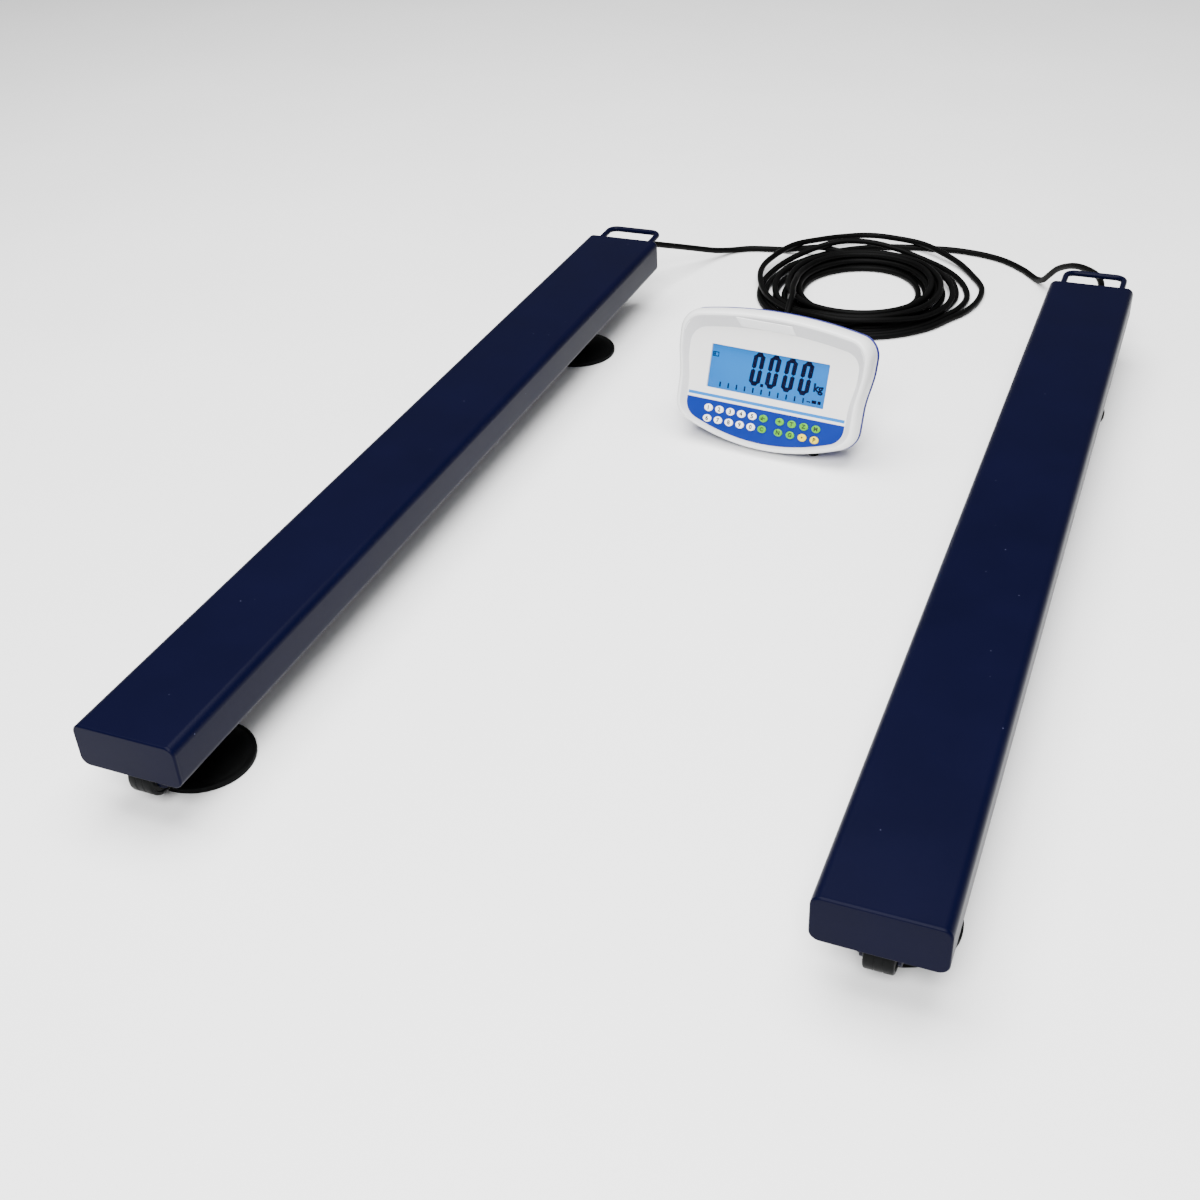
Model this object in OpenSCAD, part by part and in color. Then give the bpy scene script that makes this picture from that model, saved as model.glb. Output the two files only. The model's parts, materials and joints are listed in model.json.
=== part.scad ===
// Pallet scale: two weigh beams on levelling feet, joined by cables to a free-standing indicator.
// X is across the beams, Y runs from their free ends to their handle ends, Z is up from the floor.

/* [Weigh beams] */
// Length of one beam's steel body
beam_len = 1200; // [1000:10:1300]
// Width of the beam
beam_w = 108; // [104:1:130]
// Height of the beam section
beam_h = 46; // [44:1:60]
// Wall of the beam tube and its end plates
beam_wall = 4; // [3:0.5:5]
// Outer corner radius of the tube
beam_r = 9; // [5:0.5:12]
// Height of the beam's underside over the floor
floor_gap = 54; // [50:1:70]
// Distance between the beams' centre lines
beam_gap = 664; // [600:1:800]
// How far the left beam stands ahead of the right one
left_lead = 20; // [0:1:40]

/* [Feet] */
// Diameter of a rubber foot pad
pad_d = 102; // [80:1:104]
// Front foot, from the beam's front face
front_foot_y = 93; // [80:1:150]
// Rear foot, from the beam's front face
rear_foot_y = 1019; // [850:1:1110]
// Thread diameter of a foot stem
stem_d = 12; // [10:1:12]

/* [Transport roller] */
// Diameter of the roller
roller_d = 40; // [34:1:42]
// Width of the roller
roller_w = 25; // [20:1:30]
// Roller axle, from the beam's front face
roller_y = 26; // [26:1:34]

/* [Handle] */
// Bar diameter
handle_bar = 8; // [6:0.5:10]
// Distance between the handle's legs, centre to centre
handle_w = 76; // [60:1:90]
// Reach behind the rear end plate
handle_reach = 54; // [45:1:70]

/* [Cables] */
// Cable diameter
cable_d = 9; // [7:0.5:10]
// Gland, to the right of the beam's centre line
gland_x = 10; // [0:1:15]
// Middle radius of the cable coil
coil_r = 119; // [100:1:130]
// Width of the coil's band of cable
coil_band = 78; // [60:1:84]
// Height of the coil
coil_h = 32; // [27:1:40]

/* [Indicator] */
// Width of the case
case_w = 250; // [240:1:270]
// Height of the case along its face
case_h = 168; // [160:1:180]
// Depth of the rear half of the case
case_depth = 34; // [30:1:40]
// How far the face leans back from upright
lean = 20; // [15:1:25]
// Visible width of the display
lcd_w = 154; // [140:1:156]
// Visible height of the display
lcd_h = 54; // [50:1:56]
// Travel of a key
key_travel = 0.5; // [0.3:0.1:0.7]

/* [Hidden] */
fit = 0.05;
sides = [-1, 1];
ends = ["front", "rear"];
$fn = 48;

navy = [0.09, 0.11, 0.26];
black = [0.05, 0.05, 0.05];
steel = [0.72, 0.73, 0.75];
white = [0.92, 0.92, 0.92];
blue = [0.18, 0.33, 0.65];

// Beam heights, and the beams' places
beam_top = floor_gap + beam_h;
inside_low = floor_gap + beam_wall;
inside_top = beam_top - beam_wall;
front_y = -(beam_len + handle_reach - left_lead) / 2;
rear_y = beam_len;
right_place = [beam_gap / 2, front_y, 0];
left_place = [-beam_gap / 2, front_y - left_lead, 0];

// Load cells hang from a block welded under the tube's top wall
cell_w = 30;
cell_len = 130;
cell_h = 28;
cell_low = inside_low + 2;
cell_top = cell_low + cell_h;
cell_nose = 15;
bolt_steps = [67, 97];
bolt_d = 10;
bolt_head_d = 16;
bolt_head_h = 9;
access_d = 20;
foot_hole_d = 44;

// Foot: ball in a socket, hexagon, then the thread
ball_d = 16;
ball_z = 13;
pad_edge_t = 5;
pad_hub_h = 18;
hex_low = 24;
hex_h = 7;
hex_d = 22;
stem_top = cell_top - 2;
nut_low = cell_low - 9;
foot_y = [front_foot_y, rear_foot_y];
foot_dir = [1, -1];

// Roller
roller_z = floor_gap - 14.5;
ear_t = 3;
ear_gap = roller_w + 2;
ear_r = 12;
axle_d = 10;
slot_w = roller_w + 5;

// Handle
handle_z = beam_top - 8;
handle_bend = 12;

// Cable gland
gland_z = 72;
gland_len = 17;
gland_hex = 20;
gland_thread = 12;
gland_y = rear_y + gland_len;

// Coil
coil_place = [0, 680, 0];

// Cable routes, from each gland to the coil and from the coil to the case
left_lead_route = [[-322, 580, 72], [-322, 598, 72], [-316, 628, 67], [-300, 664, 53], [-277, 712, 33],
    [-252, 758, 14], [-234, 786, 6], [-212, 801, 5], [-184, 808, 5], [-154, 811, 6], [-124, 813, 11],
    [-96, 814, 15], [-68, 814, 12], [-40, 819, 8]];
right_lead_route = [[342, 600, 72], [342, 620, 74], [340, 642, 77], [332, 666, 78], [316, 692, 75],
    [294, 722, 66], [270, 754, 46], [257, 772, 27], [248, 787, 13], [236, 806, 5.5], [213, 835, 5],
    [180, 863, 5], [144, 878, 5], [102, 884, 5], [62, 881, 5], [26, 876, 5], [-8, 867, 5],
    [-42, 852, 5], [-74, 830, 5], [-99, 803, 5], [-116, 774, 6], [-127, 746, 8]];
left_tail_route = [[32.5, 563.5, 14.2], [6.5, 548.5, 14], [-19.5, 533.5, 14], [-41, 513, 9.5],
    [-55, 485, 5.5], [-62, 450, 5], [-64, 405, 5], [-62, 350, 5], [-57, 306, 11], [-54.5, 278, 20.5],
    [-57.1, 254.4, 29]];
right_tail_route = [[-86, 612, 32.5], [-80, 588, 32], [-77, 564, 26], [-76, 540, 14.5], [-77, 515, 6.5],
    [-80, 488, 5], [-84, 460, 5], [-89, 425, 5], [-91, 385, 5], [-88, 345, 5], [-82, 309, 11],
    [-79.5, 280.5, 20.5], [-81.9, 257, 29]];
cable_sides = 10;
cable_rings = 2;

// Indicator case: places along its face
case_place = [-3.3, 172.8, 8.6];
case_turn = -6;
parting = -16;
case_back = parting - case_depth;
case_wall = 3;
rim_h = 4;
brow_rise = 7;
plate_side = 21;
plate_foot = 8;
plate_top = 32;
lcd_x = -3.3;
lcd_low = 65;
lcd_z = -6;
board_z = -9.2;
board_t = 1.6;

// Outline of the case face: wide arcs above and below, round corners, a little narrower at the foot
bottom_sag = 17;
bottom_half = 94;
top_sag = 9;
top_half = 100;
low_w = 119;
corner_r = 26;
top_turn = 80;
bottom_turn = 70;

// Keypad
key_w = 11;
key_h = 9;
key_gap = 0.35;
key_rise = 2;
key_root = -3.6;
key_row_v = [40, 26.5];
key_left_u = -73;
key_pitch = 14.75;
key_jump = 5.8;
key_pitch_right = 15.7;
key_count = 10;
panel_t = 0.8;
panel_top = 50;

// Stand, screws, feet and sockets on the back
stand_v = 118;
stand_n = case_back - 6;
stand_len = 109.5;
stand_w = 70;
stand_t = 4;
stand_pin_d = 6;
lug_gap = 1;
stand_open = 48.5;
screw_u = 100;
screw_v = [34, 132];
plug_u = [-87, -62];
plug_v = 45;
plug_d = 18;
plug_len = 14;
foot_u = 60;

beam_parts = ["beam_tube", "end_plates", "handle", "load_cells", "cell_fasteners", "roller_bracket",
    "roller_wheel", "roller_axle", "cable_gland", "front_foot_pad", "rear_foot_pad",
    "front_foot_stem", "rear_foot_stem"];
case_parts = ["front_shell", "rear_shell", "display_window", "lcd_panel", "circuit_board",
    "keypad_panel", "battery", "case_screws", "rubber_feet", "stand", "rear_sockets"];

// ---- helpers ----

// Corner points of a rectangle with round corners
function round_rect(w, h, r) = [for (c = [0:3], i = [0:6])
    let (a = 90 * c + 15 * i,
        sx = (c == 0 || c == 3) ? 1 : -1,
        sy = (c < 2) ? 1 : -1)
    [sx * (w / 2 - r) + r * cos(a), sy * (h / 2 - r) + r * sin(a)]];

// Points of an ellipse
function oval(w, h) = [for (a = [0:15:345]) [w / 2 * cos(a), h / 2 * sin(a)]];

module along_y(y0, y1) {
    translate([0, y1, 0]) rotate([90, 0, 0]) linear_extrude(y1 - y0) children();
}

module section(w, h, r) {
    translate([0, floor_gap + beam_h / 2]) polygon(round_rect(w, h, r));
}

module post(d, low, high) {
    translate([0, 0, low]) cylinder(d = d, h = high - low);
}

// A round bar along Y, and one along X
module bar_y(d, y0, y1) {
    translate([0, y0, 0]) rotate([-90, 0, 0]) cylinder(d = d, h = y1 - y0);
}

module bar_x(d, x0, x1) {
    translate([x0, 0, 0]) rotate([0, 90, 0]) cylinder(d = d, h = x1 - x0);
}

// ---- weigh beam, with its front face at y = 0 ----

module beam_tube() {
    color(navy) {
        difference() {
            along_y(beam_wall, rear_y - beam_wall) section(beam_w, beam_h, beam_r);
            along_y(0, rear_y)
                section(beam_w - 2 * beam_wall, beam_h - 2 * beam_wall, beam_r - beam_wall);
            for (i = [0, 1]) translate([0, foot_y[i], 0]) {
                post(foot_hole_d, floor_gap - 1, inside_low + 1);
                for (s = bolt_steps) translate([0, foot_dir[i] * s, 0])
                    post(access_d, floor_gap - 1, inside_low + 1);
            }
            translate([-slot_w / 2, beam_wall + 4, floor_gap - 1])
                cube([slot_w, roller_y + roller_d / 2 - beam_wall - 4, beam_wall + 2]);
        }
        cell_blocks();
    }
}

// Steel blocks under the top wall that the load cells bolt to
module cell_blocks() {
    for (i = [0, 1]) difference() {
        translate([-cell_w / 2, foot_y[i] + (i == 0 ? bolt_steps[0] - 15 : -bolt_steps[1] - 15), cell_top])
            cube([cell_w, bolt_steps[1] - bolt_steps[0] + 30, inside_top - cell_top]);
        for (s = bolt_steps) translate([0, foot_y[i] + foot_dir[i] * s, 0])
            post(bolt_d, cell_top - 1, inside_top - 1);
    }
}

module end_plates() {
    color(navy) {
        along_y(0, beam_wall) section(beam_w, beam_h, beam_r);
        difference() {
            along_y(rear_y - beam_wall, rear_y) section(beam_w, beam_h, beam_r);
            translate([gland_x, 0, gland_z]) bar_y(gland_thread, rear_y - 2 * beam_wall, rear_y + 1);
        }
    }
}

module handle() {
    bar_at = rear_y + handle_reach - handle_bar / 2;
    color(navy) translate([0, 0, handle_z]) {
        for (s = sides) {
            translate([s * handle_w / 2, 0, 0]) bar_y(handle_bar, rear_y, bar_at - handle_bend);
            translate([s * (handle_w / 2 - handle_bend), bar_at - handle_bend, 0])
                rotate([0, 0, s > 0 ? 0 : 90])
                    rotate_extrude(angle = 90) translate([handle_bend, 0]) circle(d = handle_bar);
        }
        translate([0, bar_at, 0])
            bar_x(handle_bar, handle_bend - handle_w / 2, handle_w / 2 - handle_bend);
    }
}

module load_cells() {
    color(steel) for (i = [0, 1]) translate([0, foot_y[i], 0]) difference() {
        translate([-cell_w / 2, i == 0 ? -cell_nose : cell_nose - cell_len, cell_low])
            cube([cell_w, cell_len, cell_h]);
        post(stem_d, cell_low - 1, cell_top + 1);
        for (s = bolt_steps) translate([0, foot_dir[i] * s, 0]) {
            post(bolt_d, cell_low - 1, cell_top + 1);
            post(bolt_head_d + 1, cell_low - 1, cell_low + bolt_head_h + 1);
        }
        for (s = sides) translate([s * cell_w / 2, foot_dir[i] * 38, (cell_low + cell_top) / 2])
            bar_x(20, -9, 9);
    }
}

module hex_nut(d, bore, low, high) {
    difference() {
        translate([0, 0, low]) cylinder(d = d, h = high - low, $fn = 6);
        post(bore, low - 1, high + 1);
    }
}

module cell_fasteners() {
    color(steel) for (i = [0, 1]) translate([0, foot_y[i], 0]) {
        hex_nut(hex_d, stem_d, nut_low, cell_low);
        for (s = bolt_steps) translate([0, foot_dir[i] * s, 0]) difference() {
            union() {
                post(bolt_head_d, cell_low + 1, cell_low + bolt_head_h + 1);
                post(bolt_d, cell_low + bolt_head_h + 1, inside_top - 2);
            }
            translate([0, 0, cell_low]) cylinder(d = 9, h = 6, $fn = 6);
        }
    }
}

module roller_bracket() {
    color(navy) for (s = sides) translate([s * (ear_gap + ear_t) / 2, roller_y, 0]) difference() {
        union() {
            translate([-ear_t / 2, -ear_r, roller_z]) cube([ear_t, 2 * ear_r, floor_gap - roller_z]);
            translate([0, 0, roller_z]) bar_x(2 * ear_r, -ear_t / 2, ear_t / 2);
        }
        translate([0, 0, roller_z]) bar_x(axle_d, -ear_t, ear_t);
    }
}

module roller_wheel() {
    lip = 1.5;
    half = roller_w / 2;
    rim = roller_d / 2;
    bore = axle_d / 2 + fit;
    color(black) translate([0, roller_y, roller_z]) rotate([0, 90, 0])
        rotate_extrude() polygon([[bore, -half], [rim - lip, -half], [rim, lip - half],
            [rim, half - lip], [rim - lip, half], [bore, half]]);
}

module roller_axle() {
    reach = ear_gap / 2 + ear_t;
    color(steel) translate([0, roller_y, roller_z]) {
        bar_x(axle_d, -reach, reach + 7);
        translate([-reach - 5, 0, 0]) rotate([0, 90, 0]) cylinder(d = 18, h = 5, $fn = 6);
        translate([reach, 0, 0]) rotate([0, 90, 0]) difference() {
            cylinder(d = 18, h = 6, $fn = 6);
            translate([0, 0, -1]) cylinder(d = axle_d, h = 8);
        }
    }
}

module cable_gland() {
    color(black) translate([gland_x, 0, gland_z]) difference() {
        union() {
            bar_y(gland_thread, rear_y - 11, rear_y);
            translate([0, rear_y, 0]) rotate([-90, 0, 0]) cylinder(d = gland_hex, h = 5, $fn = 6);
            bar_y(17, rear_y + 5, gland_y - 4);
            translate([0, gland_y - 4, 0]) rotate([-90, 0, 0]) cylinder(d1 = 17, d2 = 13, h = 4);
            translate([0, rear_y - beam_wall - 5, 0]) rotate([-90, 0, 0])
                cylinder(d = gland_hex, h = 5, $fn = 6);
        }
        bar_y(cable_d, rear_y - 12, gland_y + 1);
    }
}

module foot_pad(y) {
    rim = pad_d / 2;
    socket = ball_d / 2 + fit;
    hub = 12;
    color(black) translate([0, y, 0]) difference() {
        rotate_extrude($fn = 72) polygon([[0, 0], [rim - 1, 0], [rim, 1], [rim, pad_edge_t - 1],
            [rim - 1, pad_edge_t], [rim * 0.6, pad_edge_t + 2.5], [hub + 4, pad_edge_t + 5],
            [hub, pad_hub_h], [0, pad_hub_h]]);
        translate([0, 0, ball_z]) sphere(r = socket);
    }
}

module foot_stem(y) {
    neck = 9;
    color(steel) translate([0, y, 0]) {
        translate([0, 0, ball_z]) sphere(d = ball_d);
        post(neck, ball_z, hex_low + 1);
        translate([0, 0, hex_low]) cylinder(d = hex_d, h = hex_h, $fn = 6);
        post(stem_d - 2 * fit, hex_low + hex_h - 1, stem_top);
    }
}

module beam_part(p) {
    if (p == "beam_tube") beam_tube();
    if (p == "end_plates") end_plates();
    if (p == "handle") handle();
    if (p == "load_cells") load_cells();
    if (p == "cell_fasteners") cell_fasteners();
    if (p == "roller_bracket") roller_bracket();
    if (p == "roller_wheel") roller_wheel();
    if (p == "roller_axle") roller_axle();
    if (p == "cable_gland") cable_gland();
    for (i = [0, 1]) {
        if (p == str(ends[i], "_foot_pad")) foot_pad(foot_y[i]);
        if (p == str(ends[i], "_foot_stem")) foot_stem(foot_y[i]);
    }
}

// ---- indicator: X across the face, Y up it, Z out of it, faceplate at z = 0 ----

module at_case() {
    translate(case_place) rotate([0, 0, case_turn]) rotate([90 - lean, 0, 0]) children();
}

// The case's edges at distance x from its middle, and its half width at height v
function top_edge(x) = case_h - top_sag * pow(x / top_half, 2);
function bottom_edge(x) = bottom_sag * pow(x / bottom_half, 2);
function ease(t) = t * t * (3 - 2 * t);
function half_width(v) = low_w + (case_w / 2 - low_w) * ease(min(max((v - 70) / 50, 0), 1));

// Where the corner arcs' centres stand
low_corner = [low_w - corner_r,
    bottom_edge(low_w - corner_r * (1 - cos(bottom_turn))) + corner_r * sin(bottom_turn)];
top_corner = [case_w / 2 - corner_r,
    top_edge(case_w / 2 - corner_r * (1 - cos(top_turn))) - corner_r * sin(top_turn)];

// Right half of the outline, from the middle of the bottom edge up to the middle of the top edge
half_outline = concat(
    [for (x = [0:17:85]) [x, bottom_edge(x)]],
    [for (a = [-bottom_turn:10:-10]) low_corner + corner_r * [cos(a), sin(a)]],
    [for (i = [0:6]) let (v = low_corner[1] + (top_corner[1] - low_corner[1]) * i / 6) [half_width(v), v]],
    [for (a = [10:10:top_turn]) top_corner + corner_r * [cos(a), sin(a)]],
    [for (x = [85:-17:0]) [x, top_edge(x)]]);
full_outline = concat(half_outline,
    [for (i = [len(half_outline) - 2:-1:1]) [-half_outline[i][0], half_outline[i][1]]]);

// The outline drawn in from the case's sides, foot and top
function outline(side, foot, top) = [for (p = full_outline)
    [p[0] * (1 - 2 * side / case_w), foot + p[1] * (1 - (foot + top) / case_h)]];

// A closed skin through rings of the outline, each [height, side, foot, top, rise towards the top]
module skin(rings) {
    n = len(full_outline);
    last = len(rings) - 1;
    points = [for (r = rings) for (p = outline(r[1], r[2], r[3]))
        [p[0], p[1], r[0] + r[4] * pow(p[1] / case_h, 2)]];
    walls = [for (k = [0:last - 1], i = [0:n - 1])
        let (j = (i + 1) % n)
        each [[k * n + i, (k + 1) * n + i, (k + 1) * n + j], [k * n + i, (k + 1) * n + j, k * n + j]]];
    bottom = [[for (i = [0:n - 1]) i]];
    top = [[for (i = [n - 1:-1:0]) last * n + i]];
    polyhedron(points, concat(bottom, walls, top));
}

module slab(w, h, v, low, high) {
    translate([-w / 2, v, low]) cube([w, h, high - low]);
}

function key_place(row, k) = [key_left_u + key_pitch * min(k, 5)
    + (k > 5 ? key_jump + key_pitch_right * (k - 5) : 0), key_row_v[row]];

module each_key() {
    for (row = [0, 1], k = [0:key_count - 1]) translate(key_place(row, k)) children();
}

module key_shape(grow) {
    polygon(oval(key_w + 2 * grow, key_h + 2 * grow));
}

module screw_places() {
    for (s = sides, v = screw_v) translate([s * screw_u, v, 0]) children();
}

module front_shell() {
    color(white) at_case() difference() {
        union() {
            difference() {
                skin([[parting, 0, 0, 0, 0], [-4, 0, 0, 0, 0], [2, 2.5, 2, 3, 5],
                    [rim_h, 8, 5, 8, brow_rise], [rim_h - 0.5, 13, 6, 12, brow_rise],
                    [0, plate_side, plate_foot, plate_top, 0]]);
                skin([[parting - 1, case_wall, case_wall, case_wall, 0],
                    [-case_wall - 4, case_wall, case_wall, case_wall, 0], [-case_wall, 9, 9, 12, 0]]);
            }
            screw_places() post(10, parting, -case_wall);
        }
        translate([lcd_x, 0, 0]) slab(lcd_w, lcd_h, lcd_low, -10, 5);
        translate([0, 0, -case_wall - 5]) linear_extrude(10) each_key() key_shape(key_gap);
        screw_places() post(4, parting - 1, -6);
    }
}

// A ring of the rear half, the same distance in all round
function back_ring(z, inset) = [z, inset, inset, inset, 0];

module rear_shell() {
    color(blue) at_case() {
        difference() {
            skin([back_ring(case_back, 16), back_ring(case_back + 6, 8), back_ring(parting - 10, 3),
                back_ring(parting, 0)]);
            skin([back_ring(case_back + case_wall, 16 + case_wall), back_ring(case_back + 8, 8 + case_wall),
                back_ring(parting - 10, 3 + case_wall), back_ring(parting + 1, case_wall)]);
            screw_places() {
                post(9, case_back - 1, case_back + 5);
                post(4.4, case_back, parting + 1);
            }
            for (u = plug_u) translate([u, plug_v, 0]) post(12, case_back - 1, case_back + case_wall + 1);
        }
        screw_places() difference() {
            post(12, case_back + 1, parting);
            post(9, case_back - 1, case_back + 5);
            post(4.4, case_back, parting + 1);
        }
        stand_lugs();
    }
}

// Two lugs that carry the stand's pins
module stand_lugs() {
    for (s = sides) translate([s * (stand_w / 2 + lug_gap + 3), stand_v, 0]) difference() {
        union() {
            translate([-3, -6, stand_n]) cube([6, 12, case_back - stand_n + 1]);
            translate([0, 0, stand_n]) bar_x(12, -3, 3);
        }
        translate([0, 0, stand_n]) bar_x(stand_pin_d + 2 * fit, -4, 4);
    }
}

module display_window() {
    gap = 0.2;
    color([0.8, 0.9, 1, 0.4]) at_case() translate([lcd_x, gap, 0])
        slab(lcd_w - 2 * gap, lcd_h - 2 * gap, lcd_low, -2.2, -0.7);
}

module lcd_panel() {
    color([0.4, 0.7, 0.9]) at_case() translate([lcd_x, -3, 0])
        slab(lcd_w + 8, lcd_h + 6, lcd_low, lcd_z, lcd_z + 2.6);
}

module circuit_board() {
    color([0.1, 0.4, 0.2]) at_case() {
        difference() {
            slab(186, 118, 19, board_z, board_z + board_t);
            screw_places() post(11, board_z - 1, board_z + board_t + 1);
        }
        translate([0, 0, board_z + board_t]) linear_extrude(key_root - key_travel - 0.3 - board_z - board_t)
            each_key() circle(d = 6);
        translate([40, 70, board_z - 4]) cube([16, 16, 4]);
        translate([-60, 30, board_z - 10]) cube([40, 10, 10]);
        translate([0, 90, board_z - 9]) cylinder(d = 10, h = 9);
    }
}

// Printed panel over the lower part of the face, with an oval hole for each key
module keypad_panel() {
    color(blue) at_case() difference() {
        linear_extrude(panel_t) intersection() {
            polygon(outline(plate_side + 1, plate_foot + 0.5, plate_top));
            translate([-case_w / 2, 0]) square([case_w, panel_top]);
        }
        translate([0, 0, -1]) linear_extrude(3) each_key() key_shape(key_gap);
    }
}

module key(row, k) {
    tone = k < 5 ? white : (row == 1 && k > 7) ? [0.95, 0.77, 0.2] : [0.43, 0.7, 0.2];
    color(tone) at_case() translate(key_place(row, k)) {
        translate([0, 0, key_root]) linear_extrude(key_rise - 0.6 - key_root) key_shape(0);
        translate([0, 0, key_rise - 0.6]) linear_extrude(0.6) key_shape(-1);
    }
}

module battery() {
    color([0.2, 0.2, 0.22]) at_case() slab(96, 50, 56, case_back + 5, case_back + 25);
}

module case_screws() {
    color(steel) at_case() screw_places() difference() {
        union() {
            post(7.5, case_back + 2, case_back + 5);
            post(4, case_back + 5, -7);
        }
        translate([0, 0, case_back + 1]) cylinder(d = 3.5, h = 2.5, $fn = 6);
    }
}

module rubber_feet() {
    color(black) at_case_floor() for (s = sides) translate([s * foot_u, 33, 0]) post(14, 0, 16);
}

// Turned like the case, but level with the floor
module at_case_floor() {
    translate([case_place[0], case_place[1], 0]) rotate([0, 0, case_turn]) children();
}

module stand() {
    leg = stand_len - 4;
    color(blue) at_case() translate([0, stand_v, stand_n]) rotate([stand_open, 0, 0]) {
        difference() {
            translate([-stand_w / 2, -leg, -stand_t / 2]) cube([stand_w, leg, stand_t]);
            translate([-stand_w / 2 + 12, -leg + 14, -stand_t]) cube([stand_w - 24, leg - 34, 2 * stand_t]);
        }
        bar_x(10, -stand_w / 2, stand_w / 2);
        bar_x(stand_pin_d, -stand_w / 2 - 6, stand_w / 2 + 6);
        translate([0, -leg, 0]) bar_x(7, -stand_w / 2, stand_w / 2);
    }
}

module rear_sockets() {
    color(black) at_case() for (u = plug_u) translate([u, plug_v, 0]) difference() {
        union() {
            post(plug_d, case_back - plug_len, case_back);
            post(12, case_back, case_back + 6);
        }
        post(cable_d, case_back - plug_len - 1, case_back + 4);
    }
}

module case_part(p) {
    if (p == "front_shell") front_shell();
    if (p == "rear_shell") rear_shell();
    if (p == "display_window") display_window();
    if (p == "lcd_panel") lcd_panel();
    if (p == "circuit_board") circuit_board();
    if (p == "keypad_panel") keypad_panel();
    if (p == "battery") battery();
    if (p == "case_screws") case_screws();
    if (p == "rubber_feet") rubber_feet();
    if (p == "stand") stand();
    if (p == "rear_sockets") rear_sockets();
}

// ---- cables ----

// Point t of the way from route point i to i + 1, on a smooth curve through them all
function route_point(r, i, t) =
    let (n = len(r) - 1,
        a = r[max(i - 1, 0)],
        b = r[i],
        c = r[min(i + 1, n)],
        d = r[min(i + 2, n)])
    0.5 * (2 * b + (c - a) * t + (2 * a - 5 * b + 4 * c - d) * t * t + (3 * b - a - 3 * c + d) * pow(t, 3));

function smooth(r, k) = concat([for (i = [0:len(r) - 2], j = [0:k - 1]) route_point(r, i, j / k)],
    [r[len(r) - 1]]);

function unit(v) = v / norm(v);

// Direction of the curve at point i
function heading(p, i) = unit(p[min(i + 1, len(p) - 1)] - p[max(i - 1, 0)]);

module cable(route) {
    p = smooth(route, cable_rings);
    n = cable_sides;
    last = len(p) - 1;
    points = [for (i = [0:last])
        let (h = heading(p, i),
            across = unit(cross(h, [0, 0, 1])),
            over = cross(across, h))
        for (j = [0:n - 1]) p[i] + cable_d / 2 * (cos(360 * j / n) * across + sin(360 * j / n) * over)];
    walls = [for (i = [0:last - 1], j = [0:n - 1])
        let (k = (j + 1) % n)
        each [[i * n + j, (i + 1) * n + k, (i + 1) * n + j], [i * n + j, i * n + k, (i + 1) * n + k]]];
    start = [[for (j = [n - 1:-1:0]) j]];
    end = [[for (j = [0:n - 1]) last * n + j]];
    color(black) polyhedron(points, concat(start, walls, end));
}

module cable_coil() {
    half = coil_band / 2;
    color(black) translate(coil_place) rotate_extrude($fn = 72)
        polygon([[coil_r - half, 6], [coil_r - half + 6, 0], [coil_r + half - 6, 0], [coil_r + half, 6],
            [coil_r + half, coil_h * 0.6], [coil_r + half - 16, coil_h], [coil_r - half + 16, coil_h],
            [coil_r - half, coil_h * 0.6]]);
}

// ---- nodes ----

for (p = beam_parts) {
    translate(right_place) beam_part(p);
    translate(left_place) beam_part(p);
}
for (p = case_parts)
    case_part(p);
for (row = [0, 1], k = [0:key_count - 1])
    key(row, k);
union() {  // left_cable
    cable(left_lead_route);
    cable(left_tail_route);
}
union() {  // right_cable
    cable(right_lead_route);
    cable(right_tail_route);
}
cable_coil();
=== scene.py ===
# %% [markdown]
# # A pallet scale: two weigh beams and a bench indicator
# The real object is two painted steel tubes on four rubber feet, a roller under each front end, a
# lifting handle on each rear end, and a plastic indicator joined to them by two long black cables.
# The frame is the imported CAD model. The main sizes and places are read from it. Profiles, the case's
# outline and the small details are written out here as numbers. Every piece but the cables is made
# in millimetres in the frame of the beam or the case that it belongs to, then placed by one matrix.

# %% Load the frame
import json
from math import atan2, cos, pi, radians, sin

import bmesh
import bpy
import numpy as np
from mathutils import Matrix, Vector


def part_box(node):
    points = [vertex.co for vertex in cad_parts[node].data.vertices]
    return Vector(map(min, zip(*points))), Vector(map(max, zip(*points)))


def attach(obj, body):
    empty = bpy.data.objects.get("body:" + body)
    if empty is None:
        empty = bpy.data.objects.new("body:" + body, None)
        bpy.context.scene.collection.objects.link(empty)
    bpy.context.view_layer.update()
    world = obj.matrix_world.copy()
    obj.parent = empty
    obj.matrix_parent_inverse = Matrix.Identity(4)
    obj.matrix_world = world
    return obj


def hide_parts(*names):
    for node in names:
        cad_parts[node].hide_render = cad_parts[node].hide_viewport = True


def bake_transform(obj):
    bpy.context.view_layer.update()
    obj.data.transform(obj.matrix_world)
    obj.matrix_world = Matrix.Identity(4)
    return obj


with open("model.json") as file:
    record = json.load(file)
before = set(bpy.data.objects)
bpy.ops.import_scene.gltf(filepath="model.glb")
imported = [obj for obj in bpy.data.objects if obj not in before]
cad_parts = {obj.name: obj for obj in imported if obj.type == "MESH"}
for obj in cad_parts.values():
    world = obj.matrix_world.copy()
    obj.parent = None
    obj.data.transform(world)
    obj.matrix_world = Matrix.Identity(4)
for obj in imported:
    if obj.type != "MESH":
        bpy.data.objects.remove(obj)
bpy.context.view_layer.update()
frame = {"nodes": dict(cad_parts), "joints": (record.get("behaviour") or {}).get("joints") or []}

MM = 0.001
joints = {joint["name"]: joint for joint in frame["joints"]}

# %% [markdown]
# ## Camera
# A camera is a place, a lens and three turns. Yaw and pitch aim it over the beams from the front
# right, and a slight roll matches a hand-held camera. Its matrix has the picture's right, up and
# backward directions as columns.

# %% Camera
CAMERA_AT = Vector((0.4614, -1.3948, 0.9253))
CAMERA_LENS = 45.02
YAW, PITCH, ROLL = -0.4135, 0.6085, -0.0500

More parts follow.
